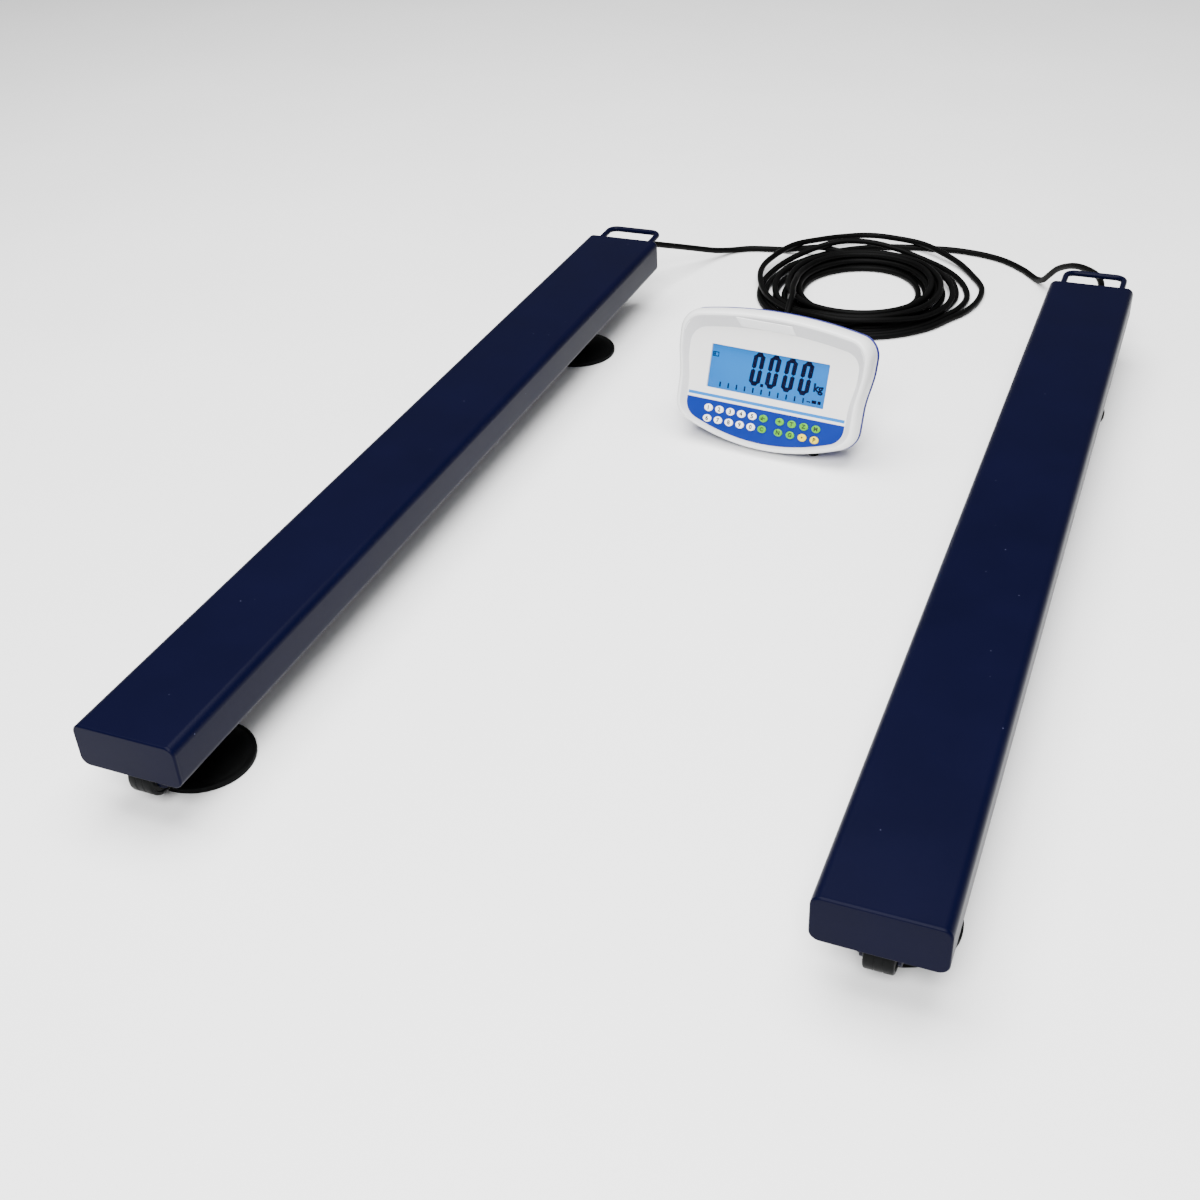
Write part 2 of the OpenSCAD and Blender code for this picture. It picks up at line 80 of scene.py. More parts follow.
forward = Vector((sin(YAW) * cos(PITCH), cos(YAW) * cos(PITCH), -sin(PITCH)))
level = Vector((cos(YAW), -sin(YAW), 0))
upright = level.cross(forward)
right = cos(ROLL) * level + sin(ROLL) * upright
up = cos(ROLL) * upright - sin(ROLL) * level
camera_data = bpy.data.cameras.new("camera")
camera_data.lens = CAMERA_LENS
camera = bpy.data.objects.new("camera", camera_data)
bpy.context.scene.collection.objects.link(camera)
camera.matrix_world = Matrix.Translation(CAMERA_AT) @ Matrix((right, up, -forward)).transposed().to_4x4()
bpy.context.scene.camera = camera
print("camera at", [round(value, 3) for value in CAMERA_AT])

# %% [markdown]
# ## Helpers for materials
# Colours are written as sRGB hex codes, as on a paint card, and shaders need them linear. One
# helper adds a node with its settings, its own values and its links.

# %% Colour and node helpers
def colour(code):
    """An sRGB hex code as the linear colour that shaders use."""
    parts = [int(code[i:i + 2], 16) / 255 for i in (1, 3, 5)]
    return [p / 12.92 if p <= 0.04045 else ((p + 0.055) / 1.055) ** 2.4 for p in parts] + [1]


def add(tree, kind, settings=None, values=None, links=None):
    """Adds one node: its settings, the values of its own sockets, and links into its sockets."""
    new = tree.nodes.new(kind)
    for name, value in (settings or {}).items():
        setattr(new, name, value)
    for socket, value in (values or {}).items():
        new.inputs[socket].default_value = value
    for socket, source in (links or {}).items():
        tree.links.new(source, new.inputs[socket])
    return new


# %% [markdown]
# Most finishes share three facts: the colour drifts in soft patches, the gloss varies with it, and
# the surface has a fine grain. `surfaced` builds those from real sizes in millimetres, read from
# Object coordinates, and returns the shader so that a finish can add what is its own.

# %% The shared surface
MIX_BY, MIX_A, MIX_B, MIXED = 0, 6, 7, 2   # the colour sockets of a Mix node


def surfaced(name, tints, patch, rough, grain, height, metallic=0.0, stretch=(1, 1, 1), **own):
    """A finish whose colour, roughness and grain come from two noises; sizes are in millimetres."""
    made = bpy.data.materials.new(name)
    made.use_nodes = True
    tree = made.node_tree
    shader = tree.nodes["Principled BSDF"]
    shader.inputs["Metallic"].default_value = metallic
    for socket, value in own.items():
        shader.inputs[socket.replace("_", " ")].default_value = value
    where = add(tree, "ShaderNodeTexCoord").outputs["Object"]
    drawn = add(tree, "ShaderNodeMapping", values={"Scale": stretch}, links={"Vector": where})
    patches = add(tree, "ShaderNodeTexNoise", values={"Scale": 1 / (patch * MM), "Detail": 4},
                  links={"Vector": drawn.outputs[0]})
    tone = add(tree, "ShaderNodeMix", {"data_type": "RGBA"},
               {MIX_A: colour(tints[0]), MIX_B: colour(tints[1])}, {MIX_BY: patches.outputs[0]})
    gloss = add(tree, "ShaderNodeMapRange", values={"To Min": rough[0], "To Max": rough[1]},
                links={"Value": patches.outputs[0]})
    grains = add(tree, "ShaderNodeTexNoise", values={"Scale": 1 / (grain * MM), "Detail": 2},
                 links={"Vector": drawn.outputs[0]})
    bump = add(tree, "ShaderNodeBump", values={"Strength": 1, "Distance": height * MM},
               links={"Height": grains.outputs[0]})
    tree.links.new(tone.outputs[MIXED], shader.inputs["Base Color"])
    tree.links.new(gloss.outputs["Result"], shader.inputs["Roughness"])
    tree.links.new(bump.outputs["Normal"], shader.inputs["Normal"])
    return made


def inside(made, kind):
    """The first node of that kind in a material, to build on."""
    return next(n for n in made.node_tree.nodes if n.bl_idname == kind)


# %% [markdown]
# ## Powder coat
# The beams are sprayed with polyester powder and baked. The powder melts to a hard skin with a
# shallow orange peel about 2 mm across, and a few pale dust specks sit in it. Reflectivity is set
# below a real coat's, here and on most other dark finishes, because the pale floor and the white
# surround would otherwise wash the dark colours out. In other light these finishes look too matt.

# %% Navy powder coat
def powder_coat():
    made = surfaced("powder_coat_navy", ("#020316", "#04051e"), 90, (0.34, 0.42), 1.9, 0.022,
                    Specular_IOR_Level=0.1, IOR=1.3)
    tree = made.node_tree
    tone = inside(made, "ShaderNodeMix")
    where = inside(made, "ShaderNodeTexCoord").outputs["Object"]
    dust = add(tree, "ShaderNodeTexVoronoi", values={"Scale": 1 / (26 * MM)}, links={"Vector": where})
    specks = add(tree, "ShaderNodeMapRange",
                 values={"From Min": 0.014, "From Max": 0.03, "To Min": 0.5, "To Max": 0},
                 links={"Value": dust.outputs["Distance"]})
    dusty = add(tree, "ShaderNodeMix", {"data_type": "RGBA"}, {MIX_B: colour("#5a5d78")},
                {MIX_A: tone.outputs[MIXED], MIX_BY: specks.outputs["Result"]})
    tree.links.new(dusty.outputs[MIXED], tree.nodes["Principled BSDF"].inputs["Base Color"])
    return made


navy_coat = powder_coat()

# %% [markdown]
# ## Rubber, nylon and steel
# The pads are moulded rubber, matt, in two close blacks. The roller and the cable glands are nylon
# with a satin skin. Bolts and stems are zinc plated: a metal whose grey clouds softly, with its
# grain drawn finer along Z, so that it runs round the upright stems.

# %% Rubber, nylon and steel finishes
pad_rubber = surfaced("moulded_rubber_black", ("#030303", "#080909"), 14, (0.5, 0.68), 0.7, 0.05,
                      Specular_IOR_Level=0.15, IOR=1.25)
roller_nylon = surfaced("moulded_nylon_black", ("#050606", "#0d0e0f"), 9, (0.3, 0.42), 0.5, 0.02,
                        Specular_IOR_Level=0.2, IOR=1.2)
gland_nylon = surfaced("gland_nylon_black", ("#060707", "#0c0d0e"), 6, (0.32, 0.45), 0.4, 0.015,
                       Specular_IOR_Level=0.2, IOR=1.3)
zinc_steel = surfaced("zinc_plated_steel", ("#9ea3a8", "#c2c6ca"), 5, (0.24, 0.4), 0.35, 0.012,
                      metallic=1, stretch=(1, 1, 4))
cell_steel = surfaced("milled_cell_steel", ("#a9abae", "#c9cbcd"), 12, (0.3, 0.45), 0.5, 0.014,
                      metallic=1, stretch=(1, 0.08, 1))
foot_rubber = surfaced("grey_foot_rubber", ("#0b0c0c", "#141516"), 6, (0.6, 0.75), 0.5, 0.03,
                       Specular_IOR_Level=0.2)

# %% [markdown]
# ## Case plastics
# The indicator's front is glossy white ABS, its back dark blue ABS with a spark-eroded texture. The
# sloping band round the faceplate is a little less glossy, and its greyer colour is painted shade,
# since this flat light hardly darkens the slope. It is likely the same plastic: the tint stands in
# for shading, since this flat light hardly darkens the slope.
# The overlay is a printed polyester film: smooth, satin, with its colours printed underneath, so
# the surface stays even over every colour.

# %% Case finishes
case_white = surfaced("gloss_abs_white", ("#dcdddd", "#e4e4e4"), 45, (0.2, 0.27), 1.2, 0.004)
# The band's greyer colour is painted shade.
band_painted_shade = surfaced("satin_abs_white_painted_shade", ("#bcbcbe", "#c6c6c8"), 30, (0.4, 0.5), 0.8, 0.012)
case_blue = surfaced("textured_abs_blue", ("#0b0f62", "#10156f"), 30, (0.38, 0.5), 0.6, 0.03,
                     Specular_IOR_Level=0.25)
film_white = surfaced("printed_film_white", ("#dcdbda", "#e4e3e1"), 30, (0.3, 0.36), 0.4, 0.003)
film_blue = surfaced("printed_film_blue", ("#0a2170", "#0d277c"), 25, (0.3, 0.38), 0.4, 0.004,
                     Specular_IOR_Level=0.25)
film_cyan = surfaced("printed_film_cyan", ("#0068b4", "#0070bd"), 20, (0.3, 0.36), 0.4, 0.003)
key_tints = {"white": ("#e9e8e5", "#f4f3f0"), "green": ("#3f9410", "#4b9f18"),
             "yellow": ("#dcc000", "#e6ca00")}
key_finish = {tone: surfaced("silicone_key_" + tone, tints, 3, (0.34, 0.44), 0.3, 0.004)
              for tone, tints in key_tints.items()}
key_print = surfaced("key_legend_black", ("#16140f", "#211e18"), 2, (0.45, 0.55), 0.2, 0.002)
board_green = surfaced("solder_mask_green", ("#0d4a22", "#14602e"), 3, (0.3, 0.5), 0.8, 0.03)
battery_grey = surfaced("battery_case_grey", ("#26282b", "#34373a"), 12, (0.4, 0.55), 0.6, 0.02)

# %% [markdown]
# ## Display
# A backlit liquid crystal panel is a pale blue glow, a little brighter towards its middle, with
# dark segments. The glow is emission, so that it doesn't depend on the studio light. The window
# over it is clear acrylic: nearly all of it is see-through, and its gloss is what shows.

# %% Display finishes
def backlit_panel():
    made = surfaced("backlit_display_blue", ("#0a4a8c", "#10589c"), 60, (0.3, 0.35), 0.4, 0.002,
                    Specular_IOR_Level=0.2)
    tree = made.node_tree
    shader = tree.nodes["Principled BSDF"]
    where = add(tree, "ShaderNodeUVMap").outputs["UV"]
    centred = add(tree, "ShaderNodeMapping", values={"Location": (-0.5, -0.45, 0)}, links={"Vector": where})
    far = add(tree, "ShaderNodeVectorMath", {"operation": "LENGTH"}, links={"Vector": centred.outputs[0]})
    glow = add(tree, "ShaderNodeMapRange", values={"From Max": 0.7}, links={"Value": far.outputs["Value"]})
    tone = add(tree, "ShaderNodeMix", {"data_type": "RGBA"},
               {MIX_A: colour("#22a2f0"), MIX_B: colour("#108ce4")},
               {MIX_BY: glow.outputs["Result"]})
    tree.links.new(tone.outputs[MIXED], shader.inputs["Emission Color"])
    shader.inputs["Emission Strength"].default_value = 0.55
    return made


display_blue = backlit_panel()
display_ink = surfaced("display_segment_ink", ("#04061f", "#070a2b"), 8, (0.35, 0.45), 0.3, 0.002,
                       Specular_IOR_Level=0.1)
window_clear = surfaced("clear_acrylic", ("#0a1418", "#0e181c"), 40, (0.04, 0.07), 2.0, 0.002,
                        Alpha=0.04, IOR=1.49)
print("materials:", len(bpy.data.materials))

# %% [markdown]
# ## Cable jacket
# The cable is soft PVC, extruded, so its fine streaks run along it. They are drawn coarser than
# real ones, about 0.7 mm across, so that they can show. Each cord carries a UV map: U runs round it
# and V along it in metres, and the streaks follow that.

# %% Cable jacket finish
def cable_jacket():
    made = surfaced("pvc_cable_black", ("#020202", "#060606"), 30, (0.42, 0.56), 0.6, 0.02,
                    Specular_IOR_Level=0.12, IOR=1.25)
    tree = made.node_tree
    where = add(tree, "ShaderNodeUVMap").outputs["UV"]
    drawn = add(tree, "ShaderNodeMapping", values={"Scale": (1, 0.6, 1)}, links={"Vector": where})
    streaks = add(tree, "ShaderNodeTexNoise", values={"Scale": 40, "Detail": 3},
                  links={"Vector": drawn.outputs[0]})
    bump = add(tree, "ShaderNodeBump", values={"Strength": 1, "Distance": 0.1 * MM},
               links={"Height": streaks.outputs[0],
                      "Normal": inside(made, "ShaderNodeBump").outputs["Normal"]})
    tree.links.new(bump.outputs["Normal"], tree.nodes["Principled BSDF"].inputs["Normal"])
    return made


cable_black = cable_jacket()

# %% [markdown]
# ## Helpers for meshes
# Three shapes make most of this object. A loft is a skin through rings of equally many points. A
# lathed piece is a loft of circles. A prism is an outline with thickness and softened edges. All
# of them merge doubles and turn their faces outwards before they are placed.

# %% Pieces, lofts, lathes and prisms
def piece(name, points, faces, finish, place=None, sharp=38, soften=0.0):
    """A mesh object at the origin: doubles merged, faces outwards, smooth but for sharp edges."""
    shape = bmesh.new()
    corners = [shape.verts.new(p) for p in points]
    for face in faces:
        shape.faces.new([corners[i] for i in face])
    bmesh.ops.remove_doubles(shape, verts=shape.verts, dist=1e-5)
    bmesh.ops.recalc_face_normals(shape, faces=shape.faces)
    if soften:
        edges = [e for e in shape.edges if e.calc_face_angle(0) > radians(50)]
        bmesh.ops.bevel(shape, geom=edges, offset=soften, segments=3, profile=0.5, affect="EDGES",
                        clamp_overlap=True)
    mesh = bpy.data.meshes.new(name)
    shape.to_mesh(mesh)
    shape.free()
    mesh.transform(place or Matrix())
    mesh.shade_smooth()
    mesh.set_sharp_from_angle(angle=radians(sharp))
    mesh.materials.append(finish)
    made = bpy.data.objects.new(name, mesh)
    bpy.context.scene.collection.objects.link(made)
    return made


def loft(name, rings, finish, place=None, closed=False, sharp=38):
    """A skin through rings of equally many points; an open one gets flat ends."""
    n, last = len(rings[0]), len(rings)
    steps = last if closed else last - 1
    faces = [(r * n + i, r * n + (i + 1) % n, (r + 1) % last * n + (i + 1) % n, (r + 1) % last * n + i)
             for r in range(steps) for i in range(n)]
    if not closed:
        faces += [tuple(range(n)), tuple(range((last - 1) * n, last * n))]
    return piece(name, [p for ring in rings for p in ring], faces, finish, place, sharp)


def ring(radius, height, sides=64, across=None):
    """A circle at a height, or a hexagon of that size across its corners, cut by the circle."""
    points = []
    for i in range(sides):
        a = 2 * pi * i / sides
        reach = radius
        if across is not None:
            flat = across / 2 * cos(pi / 6)
            reach = min(radius, flat / cos(a % (pi / 3) - pi / 6))
        points.append((reach * cos(a), reach * sin(a), height))
    return points


def lathe(name, profile, finish, place=None, closed=False, sides=64):
    """A turned piece from [radius, height] or [radius, height, hexagon's size across corners]."""
    rings = [ring(p[0], p[1], sides, p[2] if len(p) > 2 else None) for p in profile]
    return loft(name, rings, finish, place, closed)


def prism(name, outline, low, high, finish, place=None, soften=0.3):
    """An outline in x and y with thickness from low to high, and softened edges."""
    n = len(outline)
    points = [(x, y, low) for x, y in outline] + [(x, y, high) for x, y in outline]
    faces = [tuple(range(n)), tuple(range(n, 2 * n))]
    faces += [(i, (i + 1) % n, n + (i + 1) % n, n + i) for i in range(n)]
    return piece(name, points, faces, finish, place, 38, soften)


def rounded(width, height, radius, steps=6):
    """A rectangle about the middle with round corners."""
    corners = ((1, 1, 0), (-1, 1, 90), (-1, -1, 180), (1, -1, 270))
    return [(sx * (width / 2 - radius) + radius * cos(radians(start + 90 * k / steps)),
             sy * (height / 2 - radius) + radius * sin(radians(start + 90 * k / steps)))
            for sx, sy, start in corners for k in range(steps + 1)]


def shifted(outline, x, y):
    return [(p[0] + x, p[1] + y) for p in outline]


# %% [markdown]
# Holes are cut with exact booleans. Pieces that belong together on one body are joined, each part
# keeping its own finish.

# %% Cutting and joining
def joined(name, parts):
    """One piece from several, each part keeping its finish."""
    whole = bmesh.new()
    finishes = []
    for part in parts:
        before = len(whole.faces)
        whole.from_mesh(part.data)
        whole.faces.ensure_lookup_table()
        for face in whole.faces[before:]:
            face.material_index += len(finishes)
        finishes += list(part.data.materials)
        bpy.data.objects.remove(part)
    mesh = bpy.data.meshes.new(name)
    whole.to_mesh(mesh)
    whole.free()
    for finish in finishes:
        mesh.materials.append(finish)
    made = bpy.data.objects.new(name, mesh)
    bpy.context.scene.collection.objects.link(made)
    return made


def joined_all(name, parts):
    """One piece from parts that share one finish."""
    finish = parts[0].data.materials[0]
    whole = joined(name, parts)
    whole.data.polygons.foreach_set("material_index", [0] * len(whole.data.polygons))
    whole.data.materials.clear()
    whole.data.materials.append(finish)
    return whole


def plain(made):
    """The piece with its modifiers worked into its mesh."""
    bpy.context.view_layer.update()
    graph = bpy.context.evaluated_depsgraph_get()
    mesh = bpy.data.meshes.new_from_object(made.evaluated_get(graph))
    made.modifiers.clear()
    made.data = mesh
    return made


def cut(made, cutters):
    """Takes closed solids out of a piece."""
    tool = joined("cutter", cutters)
    modifier = made.modifiers.new("cut", "BOOLEAN")
    modifier.operation = "DIFFERENCE"
    modifier.solver = "EXACT"
    modifier.object = tool
    plain(made)
    bpy.data.objects.remove(tool)
    made.data.shade_smooth()
    made.data.set_sharp_from_angle(angle=radians(38))
    made.data.polygons.foreach_set("material_index", [0] * len(made.data.polygons))
    while len(made.data.materials) > 1:
        made.data.materials.pop()
    return made


def flattened(made):
    """Keeps broad flat faces flat where they meet rounded edges."""
    modifier = made.modifiers.new("flat faces", "WEIGHTED_NORMAL")
    modifier.keep_sharp = True
    return plain(made)


# %% [markdown]
# ## What repeats
# Threads, ribs and display ticks are one small shape, again and again. A Geometry Nodes tree does
# it: a row of points, each moved by one step more than the last and turned by one turn more, an
# instance on each, then real geometry with its finish. The tree's inputs are set by identifier.

# %% The repeating tree
repeat_tree = bpy.data.node_groups.new("repeat_shape", "GeometryNodeTree")
for title, kind in (("Shape", "Geometry"), ("Count", "Int"), ("Step", "Vector"), ("Turn", "Vector"),
                    ("Finish", "Material")):
    repeat_tree.interface.new_socket(name=title, in_out="INPUT", socket_type="NodeSocket" + kind)
repeat_tree.interface.new_socket(name="Shape", in_out="OUTPUT", socket_type="NodeSocketGeometry")
given = add(repeat_tree, "NodeGroupInput")
number = add(repeat_tree, "GeometryNodeInputIndex")
moved = add(repeat_tree, "ShaderNodeVectorMath", {"operation": "SCALE"},
            links={"Vector": given.outputs["Step"], "Scale": number.outputs[0]})
turned = add(repeat_tree, "ShaderNodeVectorMath", {"operation": "SCALE"},
             links={"Vector": given.outputs["Turn"], "Scale": number.outputs[0]})
row = add(repeat_tree, "GeometryNodePoints", links={"Count": given.outputs["Count"]})
spread = add(repeat_tree, "GeometryNodeSetPosition",
             links={"Geometry": row.outputs[0], "Offset": moved.outputs["Vector"]})
copies = add(repeat_tree, "GeometryNodeInstanceOnPoints",
             links={"Points": spread.outputs[0], "Instance": given.outputs["Shape"],
                    "Rotation": turned.outputs["Vector"]})
real = add(repeat_tree, "GeometryNodeRealizeInstances", links={"Geometry": copies.outputs[0]})
dressed = add(repeat_tree, "GeometryNodeSetMaterial",
              links={"Geometry": real.outputs[0], "Material": given.outputs["Finish"]})
add(repeat_tree, "NodeGroupOutput", links={"Shape": dressed.outputs[0]})
socket_ids = {item.name: item.identifier for item in repeat_tree.interface.items_tree
              if item.in_out == "INPUT"}


def repeated(shape, count, step=(0, 0, 0), turn=(0, 0, 0), place=None):
    """A piece again and again, as one plain mesh, then put in its place."""
    finish = shape.data.materials[0]
    modifier = shape.modifiers.new("repeat", "NODES")
    modifier.node_group = repeat_tree
    values = {"Count": count, "Step": step, "Turn": turn, "Finish": finish}
    for title, value in values.items():
        modifier[socket_ids[title]] = value
    plain(shape)
    shape.data.transform(place or Matrix())
    return shape


print("repeating tree inputs:", sorted(socket_ids))

# %% [markdown]
# ## Routes and tubes
# A cable, a handle and a bent wire are all a round section drawn along a route. The route is a
# smooth curve through a few points, spaced evenly again, and the section is carried along it
# without twisting, so that its UV map stays straight.

# %% Route and tube helpers
def smooth_route(points, step):
    """Evenly spaced points along a Catmull-Rom curve through the given ones."""
    p = np.array(points, float)
    p = np.vstack([2 * p[0] - p[1], p, 2 * p[-1] - p[-2]])
    fine = []
    for a, b, c, d in zip(p, p[1:], p[2:], p[3:]):
        t1, t2, t3 = np.cumsum([np.linalg.norm(q) ** 0.5 for q in (b - a, c - b, d - c)])
        for t in np.linspace(t1, t2, 12, endpoint=False):
            ab = a + (b - a) * t / t1
            bc = b + (c - b) * (t - t1) / (t2 - t1)
            cd = c + (d - c) * (t - t2) / (t3 - t2)
            abc = ab + (bc - ab) * t / t2
            bcd = bc + (cd - bc) * (t - t1) / (t3 - t1)
            fine.append(abc + (bcd - abc) * (t - t1) / (t2 - t1))
    fine = np.array(fine + [p[-2]])
    along = np.concatenate([[0], np.cumsum(np.linalg.norm(np.diff(fine, axis=0), axis=1))])
    at = np.linspace(0, along[-1], round(along[-1] / step) + 1)
    return np.stack([np.interp(at, along, fine[:, k]) for k in range(p.shape[1])], axis=1)


def tube(name, route, radius, finish, sides=12):
    """A round section along a route, with U round it and V along it."""
    side = np.cross(route[1] - route[0], (0.3, 0.2, 1))
    rings = []
    for i, point in enumerate(route):
        ahead = route[min(i + 1, len(route) - 1)] - route[max(i - 1, 0)]
        side = side - ahead * (side @ ahead) / (ahead @ ahead)
        side = side / np.linalg.norm(side)
        other = np.cross(ahead / np.linalg.norm(ahead), side)
        turns = [2 * pi * k / sides for k in range(sides)]
        rings.append([point + radius * (cos(a) * side + sin(a) * other) for a in turns])
    made = loft(name, rings, finish)
    step = float(np.linalg.norm(route[1] - route[0]))
    chart = made.data.uv_layers.new(name="UVMap")
    for face in made.data.polygons:
        around = [made.data.loops[k].vertex_index % sides for k in face.loop_indices]
        seam = max(around) == sides - 1 and min(around) == 0
        for k, turn in zip(face.loop_indices, around):
            u = (turn + sides if seam and turn == 0 else turn) / sides
            chart.data[k].uv = (u, made.data.loops[k].vertex_index // sides * step)
    return made


# %% [markdown]
# ## The two cables
# Each cable leaves its beam's gland, sinks to the floor, winds through the loose coil behind the
# indicator and comes out over the coil's front to a socket in the indicator's back. The leads and
# tails lie along listed points. The coil is worked out: an angle, a radius and a height at
# each change, with even turns between them. Where one strand crosses another it rises in a hump.

# %% Where the cables run
CABLE_D = 0.009
COIL_AT = (0.0, 0.680)
TURN_STEP = 15
INNER_R, INNER_BAND, INNER_SQUEEZE = 131, 36, 0.12
left_lead = [
    [-0.322, 0.580, 0.072], [-0.322, 0.598, 0.072], [-0.316, 0.628, 0.067], [-0.300, 0.664, 0.053],
    [-0.277, 0.712, 0.033], [-0.252, 0.758, 0.014], [-0.234, 0.786, 0.006], [-0.212, 0.801, 0.005],
    [-0.184, 0.808, 0.005], [-0.154, 0.811, 0.006], [-0.124, 0.813, 0.011], [-0.096, 0.814, 0.015],
    [-0.068, 0.814, 0.012], [-0.040, 0.819, 0.008]]
right_lead = [
    [0.342, 0.600, 0.072], [0.342, 0.620, 0.074], [0.340, 0.642, 0.077], [0.332, 0.666, 0.078],
    [0.316, 0.692, 0.075], [0.294, 0.722, 0.066], [0.270, 0.754, 0.046], [0.257, 0.772, 0.027],
    [0.248, 0.787, 0.013], [0.236, 0.806, 0.0055], [0.213, 0.835, 0.005], [0.180, 0.863, 0.005],
    [0.144, 0.878, 0.005], [0.102, 0.884, 0.005], [0.062, 0.881, 0.005], [0.026, 0.876, 0.005],
    [-0.008, 0.867, 0.005], [-0.042, 0.852, 0.005], [-0.074, 0.830, 0.005], [-0.099, 0.803, 0.005],
    [-0.116, 0.774, 0.006], [-0.127, 0.746, 0.008]]
left_tail = [
    [0.0325, 0.5635, 0.0142], [0.0065, 0.5485, 0.014], [-0.0195, 0.5335, 0.014],
    [-0.041, 0.513, 0.0095], [-0.055, 0.485, 0.0055], [-0.062, 0.450, 0.005], [-0.064, 0.405, 0.005],
    [-0.062, 0.350, 0.005], [-0.057, 0.306, 0.011], [-0.0545, 0.278, 0.0205], [-0.0571, 0.2544, 0.029]]
right_tail = [
    [-0.086, 0.612, 0.0325], [-0.080, 0.588, 0.032], [-0.077, 0.564, 0.026], [-0.076, 0.540, 0.0145],
    [-0.077, 0.515, 0.0065], [-0.080, 0.488, 0.005], [-0.084, 0.460, 0.005], [-0.089, 0.425, 0.005],
    [-0.091, 0.385, 0.005], [-0.088, 0.345, 0.005], [-0.082, 0.309, 0.011], [-0.0795, 0.2805, 0.0205],
    [-0.0819, 0.257, 0.029]]

# %% The coil's turns
# Each entry is an angle in degrees, then a radius and a height in millimetres.
left_turns = [
    (90, 148, 6), (60, 147, 5), (30, 142, 5), (10, 137, 5), (-10, 131, 5), (-1420, 95, 5),
    (-1450, 94.5, 7), (-1480, 95, 11), (-1510, 97.5, 14), (-1540, 99.5, 14), (-2220, 117, 14)]
right_turns = [
    (165, 141, 6), (180, 140.5, 5), (340, 141, 5), (355, 147, 5), (370, 153, 5), (400, 158, 5),
    (425, 159, 8), (443, 159, 15), (458, 158, 22), (474, 157, 25), (491, 156, 20), (510, 155, 12),
    (525, 152, 8), (540, 150, 6), (560, 150, 5), (700, 150, 5), (712, 158, 5), (743, 180, 5),
    (759, 183, 6), (783, 191, 12), (795, 199, 14), (820, 209, 14), (844, 193, 17), (859, 185, 19),
    (879, 172, 15), (905, 152, 14.5), (925, 143, 14), (945, 137, 15), (960, 136.5, 19), (975, 136, 23),
    (1010, 135.5, 23), (1030, 135, 19), (1045, 134.5, 15), (1060, 134, 14), (1300, 128.5, 14),
    (1320, 127.5, 17), (1335, 127, 22), (1350, 126.5, 23), (1400, 124, 23), (1480, 118, 23),
    (1960, 106, 23), (1980, 105, 26), (2000, 104.5, 31)]


def coil_point(angle, radius, height):
    """A point of a turn in metres; the inner turns are squeezed a little across the coil."""
    a = radians(angle)
    inner = min(max((INNER_R - radius) / INNER_BAND, 0), 1)
    reach = radius * (1 - INNER_SQUEEZE * inner * cos(a) ** 2) + 0.9 * sin(3 * a + 0.02 * angle)
    return [COIL_AT[0] + reach * MM * cos(a), COIL_AT[1] + reach * MM * sin(a), height * MM]


def wound(turns):
    points = []
    for start, end in zip(turns, turns[1:]):
        steps = max(1, round(abs(end[0] - start[0]) / TURN_STEP))
        points += [coil_point(*(s + (e - s) * k / steps for s, e in zip(start, end)))
                   for k in range(steps)]
    return points + [coil_point(*turns[-1])]


# %% Lay the cables
def cable(side, lead, turns, tail):
    route = smooth_route(lead + wound(turns) + tail, 0.004)
    cord = tube(side + "_signal_cable", route, CABLE_D / 2, cable_black)
    return cord


left_cord = cable("left", left_lead, left_turns, left_tail)
right_cord = cable("right", right_lead, right_turns, right_tail)
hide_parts("left_cable", "cable_coil")
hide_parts("right_cable")
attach(right_cord, "root")
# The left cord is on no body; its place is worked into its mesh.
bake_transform(left_cord)

# %% [markdown]
# ## The beams' sizes
# The two beams are the same part, set down twice. Everything on a beam is made in millimetres
# in the beam's own frame: X across it, Y along it from its front face, Z up from the floor.

# %% Read the beam from the frame
def local_box(node, place):
    """A CAD node's lowest and highest corners in a piece's own frame."""
    back = place.inverted()
    points = np.array([back @ v.co for v in frame["nodes"][node].data.vertices])
    return Vector(points.min(0)), Vector(points.max(0))


def beam_place(side):
    low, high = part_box(side + "_end_plates")
    return Matrix.Translation(((low.x + high.x) / 2, low.y, 0)) @ Matrix.Scale(MM, 4)


SIDES = ("left", "right")
ENDS = ("front", "rear")
BEAM_BODY = {"left": "left_beam", "right": "root"}
home = beam_place("right")
beam_low, beam_high = local_box("right_end_plates", home)
BEAM_W, BEAM_L = beam_high.x - beam_low.x, beam_high.y
BEAM_BASE, BEAM_TOP = beam_low.z, beam_high.z
BEAM_MID = (BEAM_BASE + BEAM_TOP) / 2
CORNER_R, WALL = 9, 4
foot_y = {end: sum(c.y for c in local_box(f"right_{end}_foot_pad", home)) / 2 for end in ENDS}
inwards = {"front": 1, "rear": -1}
FOOT_HOLE, BOLT_HOLE, BOLT_STEPS = 44, 20, (67, 97)
ROLLER_SLOT, SLOT_Y = (30, 38), 27
CELL_BLOCK, CELL_TOP = (30, 60), 88
print("beam", round(BEAM_W), "x", round(BEAM_TOP - BEAM_BASE), "x", round(BEAM_L), "mm, feet at",
      {end: round(y) for end, y in foot_y.items()})


def rides(made, body, slot, *nodes):
    """Hands a finished piece to its body and hides the CAD nodes that it stands for; the slot is not used.
    """
    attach(made, body)
    if nodes:
        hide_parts(*nodes)
    return made


# %% [markdown]
# ## Beam
# A real beam is rectangular tube with a plate welded into each end and ground flush, then coated.
# It could be a box with a bevel, but the long round corners and the short softened ends have
# different radii. So it is a loft of rounded rectangles along Y: the first and last few rings
# shrink to turn the end edges over, and one shallow ring marks the ground weld. Booleans then
# hollow it and open the foot holes, the bolt access holes and the roller's slot underneath.

# %% Beam shells
def beam_ring(y, inset, wall=0.0):
    outline = rounded(BEAM_W - 2 * wall - 2 * inset, BEAM_TOP - BEAM_BASE - 2 * wall - 2 * inset,
                      max(CORNER_R - wall - inset * 0.5, 1))
    return [(x, y, BEAM_MID + z) for x, z in outline]


